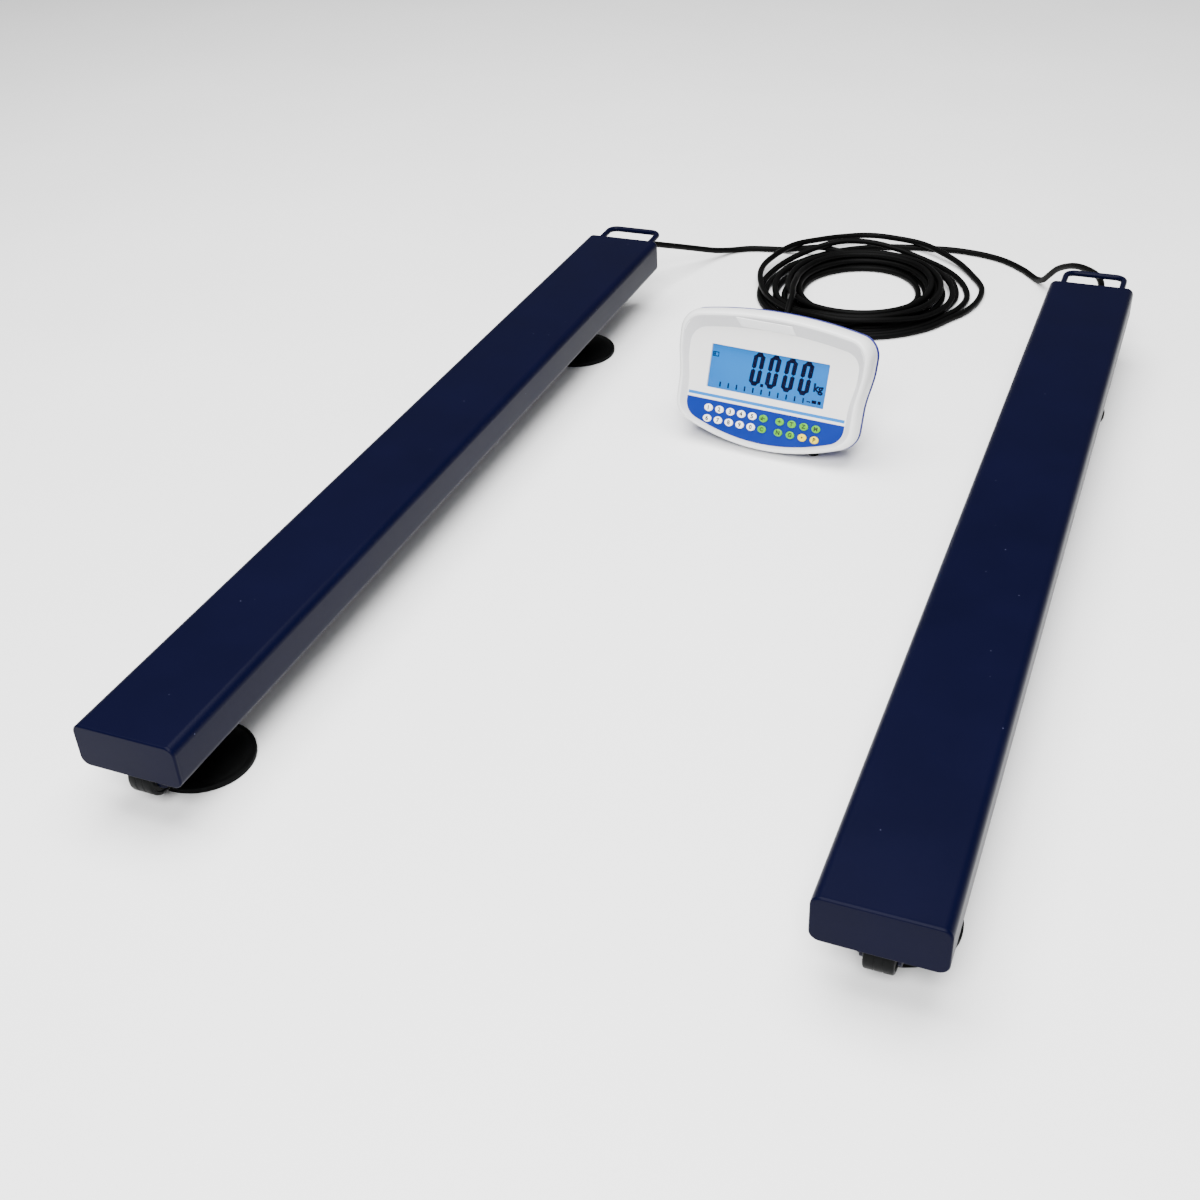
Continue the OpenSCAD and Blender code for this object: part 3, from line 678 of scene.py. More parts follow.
def round_hole(diameter, x, y, low, high, sides=48):
    """A round cutter at a place."""
    return lathe("hole", [[diameter / 2, low], [diameter / 2, high]], navy_coat,
                 Matrix.Translation((x, y, 0)), sides=sides)


def beam_shell(side):
    turn = [(0, 1.7), (0.25, 0.95), (0.8, 0.35), (1.7, 0), (3.2, 0), (4.0, 0.18), (4.8, 0)]
    stations = turn + [(BEAM_L - y, inset) for y, inset in reversed(turn)]
    shell = loft(side + "_beam", [beam_ring(y, inset) for y, inset in stations], navy_coat)
    cut(shell, [loft("cavity", [beam_ring(WALL, 0, WALL), beam_ring(BEAM_L - WALL, 0, WALL)], navy_coat)])
    low, high = BEAM_BASE - 2, BEAM_BASE + WALL + 2
    holes = [round_hole(FOOT_HOLE, 0, foot_y[end], low, high) for end in ENDS]
    holes += [round_hole(BOLT_HOLE, 0, foot_y[end] + inwards[end] * step, low, high)
              for end in ENDS for step in BOLT_STEPS]
    holes.append(prism("slot", shifted(rounded(*ROLLER_SLOT, 2), 0, SLOT_Y), low, high, navy_coat, soften=0))
    cut(shell, holes)
    blocks = []
    for end in ENDS:
        middle = foot_y[end] + inwards[end] * sum(BOLT_STEPS) / 2
        blocks.append(prism("block", shifted(rounded(*CELL_BLOCK, 1), 0, middle), CELL_TOP,
                            BEAM_TOP - WALL, navy_coat, soften=0))
    whole = joined(side + "_beam", [shell] + blocks)
    whole.data.transform(beam_place(side))
    flattened(whole)
    return rides(whole, BEAM_BODY[side], "navy_coat", side + "_beam_tube", side + "_end_plates")


for side in SIDES:
    shell = beam_shell(side)
    print(shell.name, len(shell.data.polygons), "faces")

# %% [markdown]
# ## Lifting handle
# The handle is an 8 mm round bar with two bends, its legs fillet welded to the rear plate. The bar
# is a tube along a route with true arcs. A hand weld is a row of overlapping puddles, so one small
# puddle is repeated round each leg, under the same coat.

# %% Handles
handle_low, handle_high = local_box("right_handle", home)
BAR_R = (handle_high.z - handle_low.z) / 2
BAR_X = handle_high.x - BAR_R
BAR_Y = handle_high.y - BAR_R
BAR_Z = (handle_high.z + handle_low.z) / 2
BEND_R = 12


def handle(side):
    place = beam_place(side)
    arc = [(BAR_X - BEND_R + BEND_R * cos(a), BAR_Y - BEND_R + BEND_R * sin(a), BAR_Z)
           for a in np.linspace(0, pi / 2, 9)]
    straight = [(BAR_X, y, BAR_Z) for y in np.linspace(BEAM_L - 1, BAR_Y - BEND_R - 3, 12)]
    half = straight + arc
    route = np.array(half + [(-x, y, z) for x, y, z in reversed(half)])
    bar = tube("bar", route, BAR_R, navy_coat, 24)
    parts = [bar]
    for sign in (-1, 1):
        puddle = lathe("puddle", [[0.1, -1.5], [1.3, -1.1], [1.9, 0], [1.5, 1.0], [0.1, 1.7]],
                       navy_coat, Matrix.Translation((BAR_R + 0.3, 0, 0)), sides=12)
        leg = Matrix.Translation((sign * BAR_X, BEAM_L + 0.4, BAR_Z)) @ Matrix.Rotation(-pi / 2, 4, "X")
        parts.append(repeated(puddle, 14, turn=(0, 0, 2 * pi / 14), place=leg))
    whole = joined(side + "_lifting_handle", parts)
    whole.data.transform(place)
    return rides(whole, BEAM_BODY[side], "navy_coat", side + "_handle")


for side in SIDES:
    print(handle(side).name, "bar", round(2 * BAR_R, 1), "mm")

# %% [markdown]
# ## Roller
# The roller lets the beam be wheeled when its rear is lifted. It is a turned nylon wheel with
# dished sides, on a bolt between two welded ears. The bolt is one lathe whose head and nut are
# hexagons cut by a circle, which gives them the chamfered corners that real ones have.

# %% Roller, ears and bolt
def along_x(side, node):
    """A frame whose Z runs along the beam's X, at the middle of a CAD node."""
    place = beam_place(side)
    low, high = local_box(node, place)
    middle = (low + high) / 2
    return place @ Matrix.Translation((0, middle.y, middle.z)) @ Matrix.Rotation(pi / 2, 4, "Y")


def roller(side):
    place = along_x(side, side + "_roller_wheel")
    half = [[5.05, 12.5], [8.5, 12.5], [9.2, 11.2], [16, 11.2], [16.8, 12.5], [18.4, 12.5], [19.5, 11.9],
            [20, 10.8], [20, 4.2], [19.7, 3.9], [19.7, 3.3], [20, 3.0]]
    profile = half + [[r, -h] for r, h in reversed(half)]
    wheel = lathe(side + "_roller", profile, roller_nylon, place, closed=True)
    rides(wheel, side + "_roller", "roller_nylon", side + "_roller_wheel")
    head = [[4.5, -21.5], [7.2, -21.5, 18], [8.1, -21.1, 18], [9.2, -20.6, 18], [9.2, -16.5, 18], [5, -16.5]]
    nut = [[5, 16.5], [8.2, 16.5, 18], [9.2, 17, 18], [9.2, 21.6, 18], [8.1, 22.1, 18], [7.2, 22.5, 18],
           [5, 22.5], [5, 23], [4.3, 23.5]]
    bolt = lathe(side + "_roller_bolt", head + nut, zinc_steel, place)
    rides(bolt, BEAM_BODY[side], "zinc_steel", side + "_roller_axle")


def ears(side):
    reach = BEAM_BASE - local_box("right_roller_wheel", home)[0].z - 20
    outline = [(reach, -12), (reach, 12)]
    outline += [(-12 * sin(a), 12 * cos(a)) for a in np.linspace(0, pi, 25)]
    both = []
    for low in (13.5, -16.5):
        ear = prism("ear", [(-x, y) for x, y in outline], low, low + 3, navy_coat)
        both.append(cut(ear, [lathe("bore", [[5, -20], [5, 20]], navy_coat, sides=32)]))
    whole = joined(side + "_roller_ears", both)
    whole.data.transform(along_x(side, side + "_roller_wheel"))
    rides(whole, BEAM_BODY[side], "navy_coat", side + "_roller_bracket")


for side in SIDES:
    roller(side)
    ears(side)
    print(side, "roller and ears")

# %% [markdown]
# ## Cable glands
# A gland is a nylon fitting screwed into the beam's end: a hexagon, then a dome nut with twelve
# grips that squeezes a rubber seal on the cable. Inside the wall a lock nut holds it. The turned
# body is a closed loft whose inner skin leaves the cable's bore open.

# %% Glands
def along_y(side, x, y, z):
    """A frame whose Z runs along the beam's Y."""
    return beam_place(side) @ Matrix.Translation((x, y, z)) @ Matrix.Rotation(-pi / 2, 4, "X")


def gland(side):
    low, high = local_box(f"{side}_cable_gland", beam_place(side))
    x, z = (low.x + high.x) / 2, (low.z + high.z) / 2
    place = along_y(side, x, BEAM_L, z)
    body = [[4.65, -9], [7.4, -9, 20], [8.9, -8.5, 20], [9.3, -7.9, 20], [9.3, -4.6, 20], [6.1, -4.4],
            [6.1, -0.1], [9.2, -0.1], [9.9, 0.3, 20], [10, 0.9, 20], [10, 4.2, 20], [9.2, 5, 20],
            [8.0, 5.2], [8.3, 5.6], [8.3, 12.2], [7.9, 13.2], [6.9, 16.2], [6.2, 17], [5.5, 17], [5.1, 16.4],
            [4.65, 16.2]]
    fitting = lathe("gland", body, gland_nylon, closed=True, sides=72)
    grip = prism("grip", shifted(rounded(0.7, 1.5, 0.3, 3), 8.2, 0), 6, 12.4, gland_nylon)
    grips = repeated(grip, 12, turn=(0, 0, 2 * pi / 12))
    seal = lathe("seal", [[4.55, 12], [5.3, 12], [5.3, 16.6], [4.95, 16.9], [4.55, 16.9]], pad_rubber,
                 closed=True, sides=48)
    whole = joined(side + "_cable_gland", [fitting, grips, seal])
    whole.data.transform(place)
    rides(whole, BEAM_BODY[side], "gland_nylon", side + "_cable_gland")


for side in SIDES:
    gland(side)
print("glands made")

# %% [markdown]
# ## Feet
# Each foot is a rubber disc on a threaded stem with a ball end. The disc has a flat rim, a
# shallow dome and a hub that grips the ball. The stem is turned: ball, neck, spanner hexagon and
# a core, and the thread is a sharp ring repeated at its pitch.

# %% Pads
pad_low, pad_high = local_box("right_front_foot_pad", home)
PAD_R = (pad_high.x - pad_low.x) / 2
PAD_TOP = pad_high.z
THREAD_PITCH = 1.75


def foot_place(side, end):
    return beam_place(side) @ Matrix.Translation((0, foot_y[end], 0))


def pad(side, end):
    under = [[0, 1.2], [30, 1.2], [31, 0.2], [34, 0.2], [35, 1.2], [40, 1.2], [41, 0.2], [PAD_R - 1.6, 0.2]]
    rim = [[PAD_R - 0.7, 0.35], [PAD_R - 0.1, 0.9], [PAD_R, 1.8], [PAD_R, 4.6], [PAD_R - 0.3, 5.4],
           [PAD_R - 1.1, 5.9], [PAD_R - 3, 6.1], [PAD_R - 4.2, 6.0], [PAD_R - 5, 6.4]]
    dome = [[PAD_R - 12, 7.6], [28, 8.9], [18, 9.7], [13.6, 10.1], [12.6, 10.7], [12, 11.8],
            [12, PAD_TOP - 1.4], [11.4, PAD_TOP - 0.5], [10.3, PAD_TOP], [8.4, PAD_TOP]]
    socket = [[8.15 * cos(a), 13 + 8.15 * sin(a)] for a in np.linspace(0.62, -pi / 2, 16)]
    profile = under + rim + dome + socket
    disc = lathe(f"{side}_{end}_pad", profile, pad_rubber, foot_place(side, end), sides=128)
    rides(disc, f"{side}_{end}_pad", "pad_rubber", f"{side}_{end}_foot_pad")


def stem(side, end):
    low, high = local_box(f"{side}_{end}_foot_stem", foot_place(side, end))
    ball = [[8 * cos(a), 13 + 8 * sin(a)] for a in np.linspace(-pi / 2, 0.95, 18)]
    neck = [[4.5, 20.4], [4.5, 23.4], [4.9, 24]]
    spanner = [[9, 24, 22], [10.2, 24.5, 22], [11, 25.2, 22], [11, 29.8, 22], [10.2, 30.5, 22], [9, 31, 22]]
    core = [[5.3, 31], [5.3, high.z - 1], [4.4, high.z]]
    shaft = lathe("shaft", ball + neck + spanner + core, zinc_steel, sides=72)
    flank = [[5.0, -0.8], [5.35, -0.72], [5.93, -0.12]]
    crest = lathe("crest", flank + [[r, -h] for r, h in reversed(flank)], zinc_steel,
                  Matrix.Translation((0, 0, 32.6)), closed=True, sides=48)
    turns = int((high.z - 35) / THREAD_PITCH)
    thread = repeated(crest, turns, step=(0, 0, THREAD_PITCH))
    whole = joined(f"{side}_{end}_stem", [shaft, thread])
    whole.data.transform(foot_place(side, end))
    rides(whole, f"{side}_{end}_stem", "zinc_steel", f"{side}_{end}_foot_stem")


for side in SIDES:
    for end in ENDS:
        pad(side, end)
        stem(side, end)
print("feet made, pads", round(2 * PAD_R), "mm across")

# %% [markdown]
# ## Load cells
# The load cells are plain milled bars inside the beams, as drawn, so the CAD shapes stay and only
# get their finish. Their bolts do too.

# %% Finishes for the shapes that stay
def dressed_node(node, finish):
    for holder in frame["nodes"][node].material_slots:
        holder.material = finish


for side in SIDES:
    dressed_node(side + "_load_cells", cell_steel)
    dressed_node(side + "_cell_fasteners", zinc_steel)
dressed_node("circuit_board", board_green)
dressed_node("battery", battery_grey)
dressed_node("case_screws", zinc_steel)
print("load cells, board, battery and screws keep their CAD shapes")

# %% [markdown]
# ## The indicator's frame
# The case leans back and is turned a little. Its own frame has U across the face, V up it and N
# out of it, with the faceplate at N = 0. The joints carry that frame: the stand's hinge runs along
# U, and the keys are pressed against N.

# %% Read the case from the frame
stand_joint, key_joint = joints["stand_fold"], joints["key_1_1_press"]
case_u, case_n = Vector(stand_joint["axis"]), -Vector(key_joint["axis"])
case_v = case_n.cross(case_u)
STAND_V, STAND_N = 118, -56
case_at = Vector(stand_joint["pos_m"]) - STAND_V * MM * case_v - STAND_N * MM * case_n
case_place = (Matrix.Translation(case_at) @ Matrix((case_u, case_v, case_n)).transposed().to_4x4()
              @ Matrix.Scale(MM, 4))
case_low, case_high = local_box("front_shell", case_place)
CASE_W, CASE_H = case_high.x - case_low.x, 168
PARTING, BACK = -16, -50
PLATE = (15, 8, 21.6)
window_low, window_high = local_box("display_window", case_place)
LCD_AT = (window_low + window_high) / 2
LCD_W, LCD_H = window_high.x - window_low.x + 0.4, window_high.y - window_low.y + 0.4
SCREWS = [(u, v) for u in (-100, 100) for v in (34, 132)]
print("case", round(CASE_W), "x", CASE_H, "mm, window", round(LCD_W), "x", round(LCD_H), "mm")

# %% [markdown]
# ## The case's outline
# The outline narrows towards its foot, its top and bottom edges bow, and its corners are arcs. A
# station is the outline drawn in from the sides, the foot and the top, at some height N; a rise
# lifts it more towards the top. The two halves of the case are lofts through stations.

# %% Outline and stations
CORNER = 26


def top_edge(x):
    return CASE_H - 9 * (x / 100) ** 2


def bottom_edge(x):
    return 17 * (x / 94) ** 2


def half_width(v):
    t = min(max((v - 70) / 50, 0), 1)
    return 119 + 6 * t * t * (3 - 2 * t)


low_corner = (119 - CORNER, bottom_edge(119 - CORNER * (1 - cos(radians(70)))) + CORNER * sin(radians(70)))
top_corner = (125 - CORNER, top_edge(125 - CORNER * (1 - cos(radians(80)))) - CORNER * sin(radians(80)))


def arc(centre, radius, start, end, step):
    return [(centre[0] + radius * cos(radians(a)), centre[1] + radius * sin(radians(a)))
            for a in range(start, end + 1, step)]


half_outline = [(x, bottom_edge(x)) for x in range(0, 96, 5)] + arc(low_corner, CORNER, -70, -10, 5)
half_outline += [(half_width(v), v) for v in np.linspace(low_corner[1], top_corner[1], 13).tolist()]
half_outline += arc(top_corner, CORNER, 10, 80, 5) + [(x, top_edge(x)) for x in range(95, -1, -5)]
full_outline = half_outline + [(-x, y) for x, y in reversed(half_outline[1:-1])]


def outline(side, foot, top):
    return [(x * (1 - 2 * side / CASE_W), foot + y * (1 - (foot + top) / CASE_H)) for x, y in full_outline]


def station(n, side, foot, top, rise=0.0):
    return [(x, y, n + rise * (y / CASE_H) ** 2) for x, y in outline(side, foot, top)]


def back_station(n, inset):
    return station(n, inset, inset, inset)


print("outline of", len(full_outline), "points")

# %% [markdown]
# ## Front shell
# The front is one moulding: a rolled rim, a band that slopes in to the faceplate, and a wall
# behind. A solid loft gives both skins at once, with a fine groove where the halves meet. The
# display opening and the key holes are then cut, and bored screw bosses join it inside. The
# faceplate here is 6 mm wider on each side and 10 mm taller than the CAD's.

# %% Keys' places, and the front shell
KEY_NODES = [(row, k) for row in (1, 2) for k in range(1, 11)]
key_at = {}
for row, k in KEY_NODES:
    key_low, key_high = local_box(f"key_{row}_{k}", case_place)
    key_at[row, k] = ((key_low.x + key_high.x) / 2, (key_low.y + key_high.y) / 2)
KEY_W, KEY_H = key_high.x - key_low.x, key_high.y - key_low.y


def oval(grow, at=(0, 0), sides=40):
    turns = [2 * pi * i / sides for i in range(sides)]
    return [(at[0] + (KEY_W / 2 + grow) * cos(a), at[1] + (KEY_H / 2 + grow) * sin(a)) for a in turns]


def key_holes(grow, low, high):
    return [prism("key_hole", oval(grow, at), low, high, case_white, soften=0) for at in key_at.values()]


def display_hole(grow, low, high):
    edge = rounded(LCD_W + 2 * grow, LCD_H + 2 * grow, 1.5)
    return prism("display_hole", shifted(edge, LCD_AT.x, LCD_AT.y), low, high, case_white, soften=0)


def front_shell():
    inner = [(-3, 9, 9, 12, 0), (-4.2, 6.2, 6.2, 8, 0), (-7, 3, 3, 3, 0), (PARTING, 3, 3, 3, 0)]
    lip = [(PARTING, 0.9, 0.9, 0.9, 0), (PARTING + 0.5, 0.3, 0.3, 0.3, 0), (PARTING + 1.2, 0, 0, 0, 0)]
    wall = [(-14, 0, 0, 0, 0), (-9, 0, 0, 0, 0), (-4.5, 0, 0, 0, 0), (-0.8, 0.9, 0.8, 1, 2.5),
            (2, 2.5, 2.2, 2.9, 5.2), (3.7, 4.6, 3.6, 4.8, 6.6), (4, 6.6, 5, 7, 7), (3.5, 9, 6, 9.4, 7)]
    rim = smooth_route(wall, 1.1).tolist()[1:]
    plate = [(2.9, 10, 6.3, 11, 6.2), (0.2, 14.7, 7.9, 21.2, 0.1), (0, 15.3, 8.2, 22.2, 0)]
    shell = loft("front", [station(*values) for values in inner + lip + rim + plate], case_white)
    bosses = [lathe("boss", [[2, PARTING], [5, PARTING], [5, -3.5], [2, -3.5]], case_white,
                    Matrix.Translation((u, v, 0)), closed=True, sides=40) for u, v in SCREWS]
    cut(shell, [display_hole(0, -12, 8)])
    cut(shell, key_holes(0.4, -12, 8))
    flattened(shell)
    # The sloping band's faces take the greyer finish, which is painted shade.
    shell.data.materials.append(band_painted_shade)
    middle = Vector((0, CASE_H / 2))
    for face in shell.data.polygons:
        inward = (middle - face.center.xy) @ face.normal.xy
        if 0.3 < face.normal.z < 0.97 and inward > 0:
            face.material_index = 1
    return joined("indicator_front", [shell, tab()] + bosses)


# %% [markdown]
# A plain raised lozenge stands on the top band. It is a loft of cross-sections along U that follow
# the band's slope.

# %% The plain tab on the band
def band_height(u, v):
    return 0.84 * (v - 146.4 + 8 * (u / 100) ** 2)


def tab():
    rings = []
    for t, inset in [(0, 0.9), (0.004, 0.35), (0.012, 0)] + [(t / 12, 0) for t in range(1, 12)] + [
            (0.988, 0), (0.996, 0.35), (1, 0.9)]:
        low_u, high_u = -45 + 71 * t, -51 + 73 * t
        section = []
        for v, lift in ((145.4, -1.2), (145.4, 0.9), (145.8, 1.5), (146.4, 1.8), (155.2, 1.8), (156, 1.5),
                        (156.6, 0.6), (156.6, -1.2)):
            u = low_u + (high_u - low_u) * (v - 145.4) / 11.2
            section.append((u, v, band_height(u, v) + lift - (inset if lift > 0 else 0)))
        rings.append(section)
    return loft("tab", rings, case_white, sharp=50)


front = front_shell()
front.data.transform(case_place)
rides(front, "root", "case_white", "front_shell")
print(front.name, len(front.data.polygons), "faces")

# %% [markdown]
# ## Faceplate films and display
# Two thin films cover the faceplate: a pale one round the display and a blue one under the keys.
# A cyan line crosses the pale one near its foot. The display is behind a clear window, its digits built
# from six-cornered bars on a slant, as such displays are, and its scale marks are one bar repeated.

# %% Films
def box_tool(u0, u1, v0, v1, n0=-2, n1=3):
    return prism("tool", [(u0, v0), (u1, v0), (u1, v1), (u0, v1)], n0, n1, case_white, soften=0)


def to_case(made, slot, *nodes, body="root"):
    made.data.transform(case_place)
    return rides(made, body, slot, *nodes)


PALE_FOOT, BLUE_TOP = 50.4, 50.0
LINE_LOW, LINE_HIGH = 53.5, 57.3
side, foot, top = PLATE
pale = prism("pale", outline(side + 1, foot + 0.8, top + 0.8), 0, 0.3, film_white, soften=0)
cut(pale, [display_hole(0.3, -2, 3), box_tool(-140, 140, -10, PALE_FOOT)])
ends = [(-103, LINE_LOW), (103, LINE_LOW), (103, LINE_HIGH), (-103, LINE_HIGH)]
line = prism("line", ends, 0.2, 0.36, film_cyan, soften=0)
to_case(joined("face_film", [pale, line]), "case_white")
blue = prism("keypad_film", outline(side + 1, foot + 0.5, top), 0, 0.55, film_blue, soften=0)
cut(blue, [box_tool(-140, 140, BLUE_TOP, 200)])
cut(blue, key_holes(0.35, -2, 3))
to_case(blue, "keypad_print", "keypad_panel")
print("films made")

# %% Display glass, window and digits
SLANT = 0.075
DIGIT_W, DIGIT_H, STROKE = 14.8, 41.2, 5.6
DIGIT_U, DIGIT_V, DIGIT_STEP = -27.6, 76.6, 21.2
lcd_low, lcd_high = local_box("lcd_panel", case_place)
GLASS = lcd_high.z
INK = (GLASS - 0.05, GLASS + 0.08)


def segment(x0, y0, x1, y1, gap=0.1):
    """A six-cornered bar between two points of a digit, slanted."""
    start, end = np.array((x0, y0), float), np.array((x1, y1), float)
    along = (end - start) / np.linalg.norm(end - start)
    across = np.array((-along[1], along[0])) * STROKE / 2
    start, end, inset = start + along * gap, end - along * gap, along * STROKE * 0.32
    points = [start, start + inset + across, end - inset + across, end, end - inset - across,
              start + inset - across]
    return [(p[0] + SLANT * p[1], p[1]) for p in points]


def zero(u):
    """The digit 0: six bars round a tall rectangle."""
    near, far, head = STROKE / 2, DIGIT_W - STROKE / 2, DIGIT_H - STROKE / 2
    bars = [(near, y, far, y) for y in (near, head)]
    bars += [(x, y0, x, y1) for x in (near, far) for y0, y1 in ((near, DIGIT_H / 2), (DIGIT_H / 2, head))]
    return [prism("bar", shifted(segment(*ends), u, DIGIT_V), *INK, display_ink, soften=0) for ends in bars]


def lettering(words, size, at, low, high, finish):
    """Plain generic characters as a thin solid, centred."""
    curve = bpy.data.curves.new(words, "FONT")
    curve.body, curve.size, curve.extrude, curve.resolution_u = words, size, (high - low) / 2, 3
    curve.align_x, curve.align_y, curve.offset = "CENTER", "CENTER", size * 0.045
    holder = bpy.data.objects.new(words, curve)
    bpy.context.scene.collection.objects.link(holder)
    bpy.context.view_layer.update()
    mesh = bpy.data.meshes.new_from_object(holder.evaluated_get(bpy.context.evaluated_depsgraph_get()))
    points = [(v.co.x + at[0], v.co.y + at[1], v.co.z + (low + high) / 2) for v in mesh.vertices]
    bpy.data.objects.remove(holder)
    return piece(words, points, [tuple(face.vertices) for face in mesh.polygons], finish)


def tick(u, v, width, height):
    return prism("tick", shifted(rounded(width, height, 0.2, 1), u, v), *INK, display_ink, soften=0)


glass = prism("glass", [(lcd_low.x, lcd_low.y), (lcd_high.x, lcd_low.y), (lcd_high.x, lcd_high.y),
                        (lcd_low.x, lcd_high.y)], lcd_low.z, GLASS, display_blue, soften=0.2)
chart = glass.data.uv_layers.new(name="UVMap")
for loop in glass.data.loops:
    spot = glass.data.vertices[loop.vertex_index].co
    chart.data[loop.index].uv = ((spot.x - lcd_low.x) / (lcd_high.x - lcd_low.x),
                                 (spot.y - lcd_low.y) / (lcd_high.y - lcd_low.y))
to_case(glass, "display_blue", "lcd_panel")

marks = [bar for i in range(4) for bar in zero(DIGIT_U + DIGIT_STEP * i)]
marks.append(tick(DIGIT_U + DIGIT_W + 3.2, DIGIT_V + 2, 4, 4))
marks.append(lettering("kg", 13.5, (62.5, 88), *INK, display_ink))
marks.append(repeated(tick(-64, 70.6, 1.9, 6.2), 11, step=(11, 0, 0)))
marks += [tick(-75, 109, 8, 1), tick(-75, 104, 8, 1), tick(-71.4, 106.5, 1, 6), tick(-78.6, 106.5, 1, 6),
          tick(-76.5, 106.5, 2, 3), tick(53, 70.2, 5, 1.6), tick(60, 71, 6, 4), tick(66.5, 71, 4, 4)]
to_case(joined("display_segments", marks), "display_blue")

pane = prism("window", shifted(rounded(window_high.x - window_low.x, window_high.y - window_low.y, 1.4),
                               LCD_AT.x, LCD_AT.y), window_low.z, window_high.z, window_clear)
to_case(pane, "window_clear", "display_window")
print("display made")

# %% [markdown]
# ## Keys
# Each key is a silicone cap: an oval with a rolled shoulder and a nearly flat top. White keys
# carry a digit. Green and yellow ones carry a generic mark, printed on the top.

# %% Key caps
SYMBOLS = {(1, 6): "←", (1, 7): "+", (1, 8): "T", (1, 9): "Z", (1, 10): "M",
           (2, 6): "C", (2, 7): "N", (2, 8): "G", (2, 9): "•", (2, 10): "P"}


def key(row, k):
    tone = "white" if k <= 5 else "yellow" if row == 2 and k >= 9 else "green"
    words = str((5 * (row - 1) + k) % 10) if k <= 5 else SYMBOLS[row, k]
    u, v = key_at[row, k]
    top = key_high.z
    levels = [(0, key_low.z), (0, top - 0.9), (-0.08, top - 0.6), (-0.35, top - 0.28), (-0.8, top - 0.1),
              (-1.5, top - 0.02), (-2.2, top)]
    cap = loft("cap", [[(x, y, n) for x, y in oval(grow, (u, v))] for grow, n in levels], key_finish[tone])
    legend = lettering(words, 7.4 if k <= 5 else 6.8, (u, v), top - 0.1, top + 0.03, key_print)
    name = f"key_{row}_{k}"
    to_case(joined(name + "_cap", [cap, legend]), "key_" + tone, name, body=name)


for row, k in KEY_NODES:
    key(row, k)
print(len(KEY_NODES), "keys made")

# %% [markdown]
# ## Rear shell
# The rear half is a tapered tub in dark blue. It carries four screw bosses with counterbores, two
# lugs for the stand and two openings for the sockets. A fine groove outlines the battery cover.

# %% Rear shell
PLUGS = [(u, 45) for u in (-87, -62)]
PIN_HOLE, HEAD_HOLE, SCREW_HOLE, PLUG_HOLE = 6.1, 9, 4.4, 12
BATTERY_DOOR = (0, 81, 110, 60)


def lug(u):
    outline_points = [(-6, BACK + 0.5)] + arc((0, STAND_N), 6, 180, 360, 10) + [(6, BACK + 0.5)]
    # The outline is drawn in V and N, then stood across U.
    across = Matrix(((0, 0, 1, u), (1, 0, 0, STAND_V), (0, 1, 0, 0), (0, 0, 0, 1)))
    plate = prism("lug", outline_points, -3, 3, case_blue)
    cut(plate, [round_hole(PIN_HOLE, 0, STAND_N, -10, 10, 32)])
    plate.data.transform(across)
    return plate


def rear_shell():
    inner = [(BACK + 3, 19), (BACK + 4.5, 15), (BACK + 8, 11), (PARTING - 10, 6), (PARTING, 3)]
    lip = [(PARTING, 0.9), (PARTING - 0.3, 0.1), (PARTING - 0.9, -0.5)]
    curve = [(PARTING - 1.3, -0.7), (PARTING - 5, -0.6), (PARTING - 12, 2.4), (BACK + 10, 6.4),
             (BACK + 6, 8.2), (BACK + 2.4, 11), (BACK + 0.5, 14.6), (BACK, 18.5)]
    outer = smooth_route(curve, 1.6).tolist()
    shell = loft("rear", [back_station(n, inset) for n, inset in inner + lip + outer[1:]], case_blue)
    bore = [[SCREW_HOLE / 2, BACK + 5], [SCREW_HOLE / 2, PARTING], [6, PARTING], [6, BACK + 1.5],
            [HEAD_HOLE / 2, BACK + 1.5], [HEAD_HOLE / 2, BACK + 5]]
    bosses = [lathe("boss", bore, case_blue, Matrix.Translation((u, v, 0)), closed=True, sides=40)
              for u, v in SCREWS]
    holes = [round_hole(HEAD_HOLE, u, v, BACK - 3, BACK + 5, 40) for u, v in SCREWS]
    holes += [round_hole(SCREW_HOLE, u, v, BACK, PARTING + 3, 32) for u, v in SCREWS]
    cut(shell, holes)
    cut(shell, [round_hole(PLUG_HOLE, u, v, BACK - 3, BACK + 6) for u, v in PLUGS])
    u, v, width, height = BATTERY_DOOR
    groove = prism("groove", shifted(rounded(width, height, 6), u, v), BACK - 1, BACK + 0.5, case_blue,
                   soften=0)
    cut(groove, [prism("core", shifted(rounded(width - 1.2, height - 1.2, 5.4), u, v), BACK - 2, BACK + 2,
                       case_blue, soften=0)])
    cut(shell, [groove])
    flattened(shell)
    return joined("indicator_rear", [shell] + bosses + [lug(-39), lug(39)])


to_case(rear_shell(), "case_blue", "rear_shell")
print("rear shell made")

# %% [markdown]
# ## Stand, sockets and rubber feet
# The stand is a moulded frame on two pins, folded out behind. The sockets are turned coupling nuts
# with grips, each on its cable. The case's lower edge rests on two rubber feet.

# %% Stand
STAND_W, STAND_LEG, STAND_OPEN, STAND_T = 70, 105.5, 48.5, 4


def rod(radius, half, chamfer):
    """The profile of a round bar with chamfered ends."""
    return [[radius - chamfer, -half], [radius, chamfer - half], [radius, half - chamfer],
            [radius - chamfer, half]]


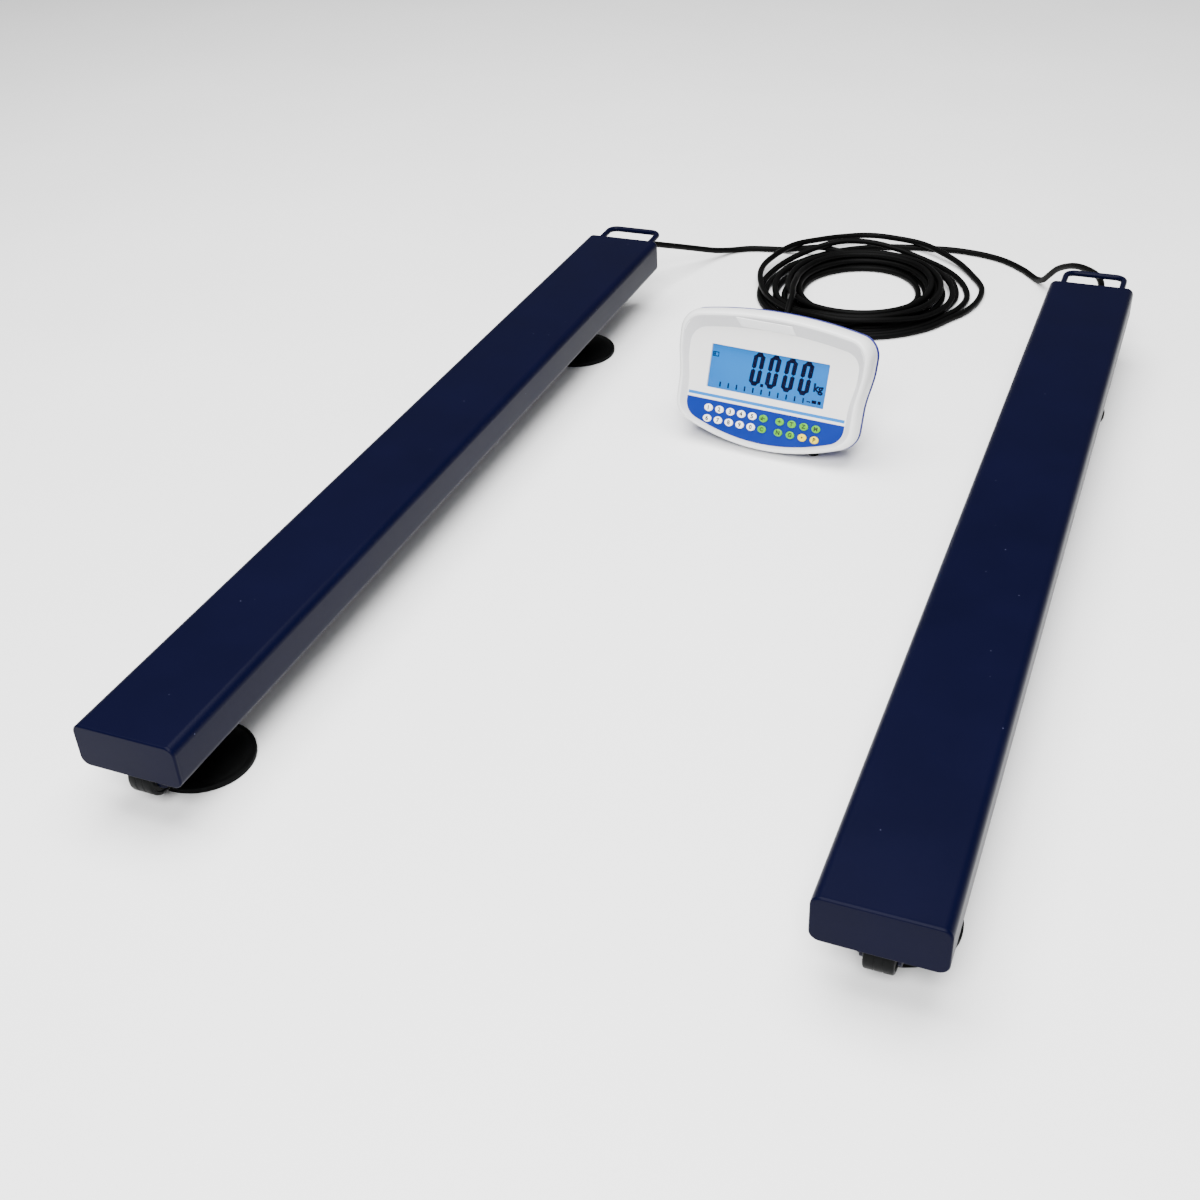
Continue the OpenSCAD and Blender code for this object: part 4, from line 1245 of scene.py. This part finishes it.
def stand():
    place = Matrix.Translation((0, STAND_V, STAND_N)) @ Matrix.Rotation(radians(STAND_OPEN), 4, "X")
    plate = prism("plate", shifted(rounded(STAND_W, STAND_LEG, 3), 0, -STAND_LEG / 2), -STAND_T / 2,
                  STAND_T / 2, case_blue, soften=0.6)
    opening = shifted(rounded(STAND_W - 24, STAND_LEG - 34, 3), 0, 14 - STAND_LEG + (STAND_LEG - 34) / 2)
    cut(plate, [prism("opening", opening, -9, 9, case_blue, soften=0)])
    turned = Matrix.Rotation(pi / 2, 4, "Y")
    barrel = lathe("barrel", rod(5, STAND_W / 2, 0.8), case_blue, turned)
    pins = lathe("pins", rod(3, STAND_W / 2 + 6, 0.6), case_blue, turned)
    foot = lathe("foot", rod(3.5, STAND_W / 2, 0.7), foot_rubber,
                 Matrix.Translation((0, -STAND_LEG, 0)) @ turned, sides=40)
    whole = joined("indicator_stand", [flattened(plate), barrel, pins, foot])
    whole.data.transform(place)
    to_case(whole, "case_blue", "stand", body="stand")


stand()

# %% Sockets and rubber feet
FOOT_U, FOOT_V = 60, 33


def socket(u, v):
    body = [[0, BACK + 4], [4.6, BACK + 4], [4.6, BACK - 13.7], [5.2, BACK - 14], [6.8, BACK - 14],
            [7.5, BACK - 13.2], [7.7, BACK - 10.4], [8.6, BACK - 9.8], [8.6, BACK - 1.8], [8.1, BACK - 1.2],
            [9, BACK - 1.1], [9, BACK - 0.05], [5.95, BACK - 0.05], [5.95, BACK + 6], [0, BACK + 6]]
    nut = lathe("nut", body, gland_nylon)
    grip = prism("grip", shifted(rounded(0.9, 1.0, 0.3, 3), 8.5, 0), BACK - 9.2, BACK - 2.2, gland_nylon)
    whole = joined("socket", [nut, repeated(grip, 24, turn=(0, 0, 2 * pi / 24))])
    whole.data.transform(Matrix.Translation((u, v, 0)))
    return whole


to_case(joined_all("indicator_sockets", [socket(u, v) for u, v in PLUGS]), "gland_nylon", "rear_sockets")
heading = Matrix.Rotation(atan2(case_u.y, case_u.x), 4, "Z")
level_place = Matrix.Translation((case_at.x, case_at.y, 0)) @ heading @ Matrix.Scale(MM, 4)
plug = [[0, 0.4], [5.6, 0.4], [6.2, 0], [6.6, 0.3], [6.9, 1.2], [7, 3], [7, 16], [0, 16]]
feet = joined_all("indicator_feet", [lathe("foot", plug, foot_rubber, Matrix.Translation((u, FOOT_V, 0)))
                                     for u in (-FOOT_U, FOOT_U)])
feet.data.transform(level_place)
rides(feet, "root", "foot_rubber", "rubber_feet")
print("stand, sockets and feet made")

# %% [markdown]
# ## Floor and light
# The floor is one pale sheet. The light is a studio: a dim white surround, a broad soft box
# overhead, and a smaller one high in front that lights the indicator and the beams' front ends.

# %% Floor
floor_pale = surfaced("studio_floor_pale", ("#f1f1f1", "#fafafa"), 400, (0.55, 0.65), 6, 0.01)
floor = prism("studio_floor", rounded(12000, 12000, 10), -10, 0, floor_pale, Matrix.Scale(MM, 4), soften=0)

# %% Light
world = bpy.data.worlds.new("studio")
world.use_nodes = True
bpy.context.scene.world = world
surround = next(n for n in world.node_tree.nodes if n.bl_idname == "ShaderNodeBackground")
surround.inputs["Color"].default_value = colour("#ffffff")
surround.inputs["Strength"].default_value = 0.3


def soft_box(name, at, target, width, height, watts):
    light = bpy.data.lights.new(name, "AREA")
    light.shape, light.size, light.size_y, light.energy = "RECTANGLE", width, height, watts
    lamp = bpy.data.objects.new(name, light)
    bpy.context.scene.collection.objects.link(lamp)
    aim = (Vector(target) - Vector(at)).to_track_quat("-Z", "Y").to_matrix().to_4x4()
    lamp.matrix_world = Matrix.Translation(at) @ aim
    return lamp


soft_box("overhead", (-0.2, 0.1, 3.0), (-0.1, 0.4, 0), 3.0, 2.6, 280)
soft_box("front", (0.5, -2.4, 2.3), (0, 0.3, 0.1), 1.4, 1.0, 170)
print("studio lit")
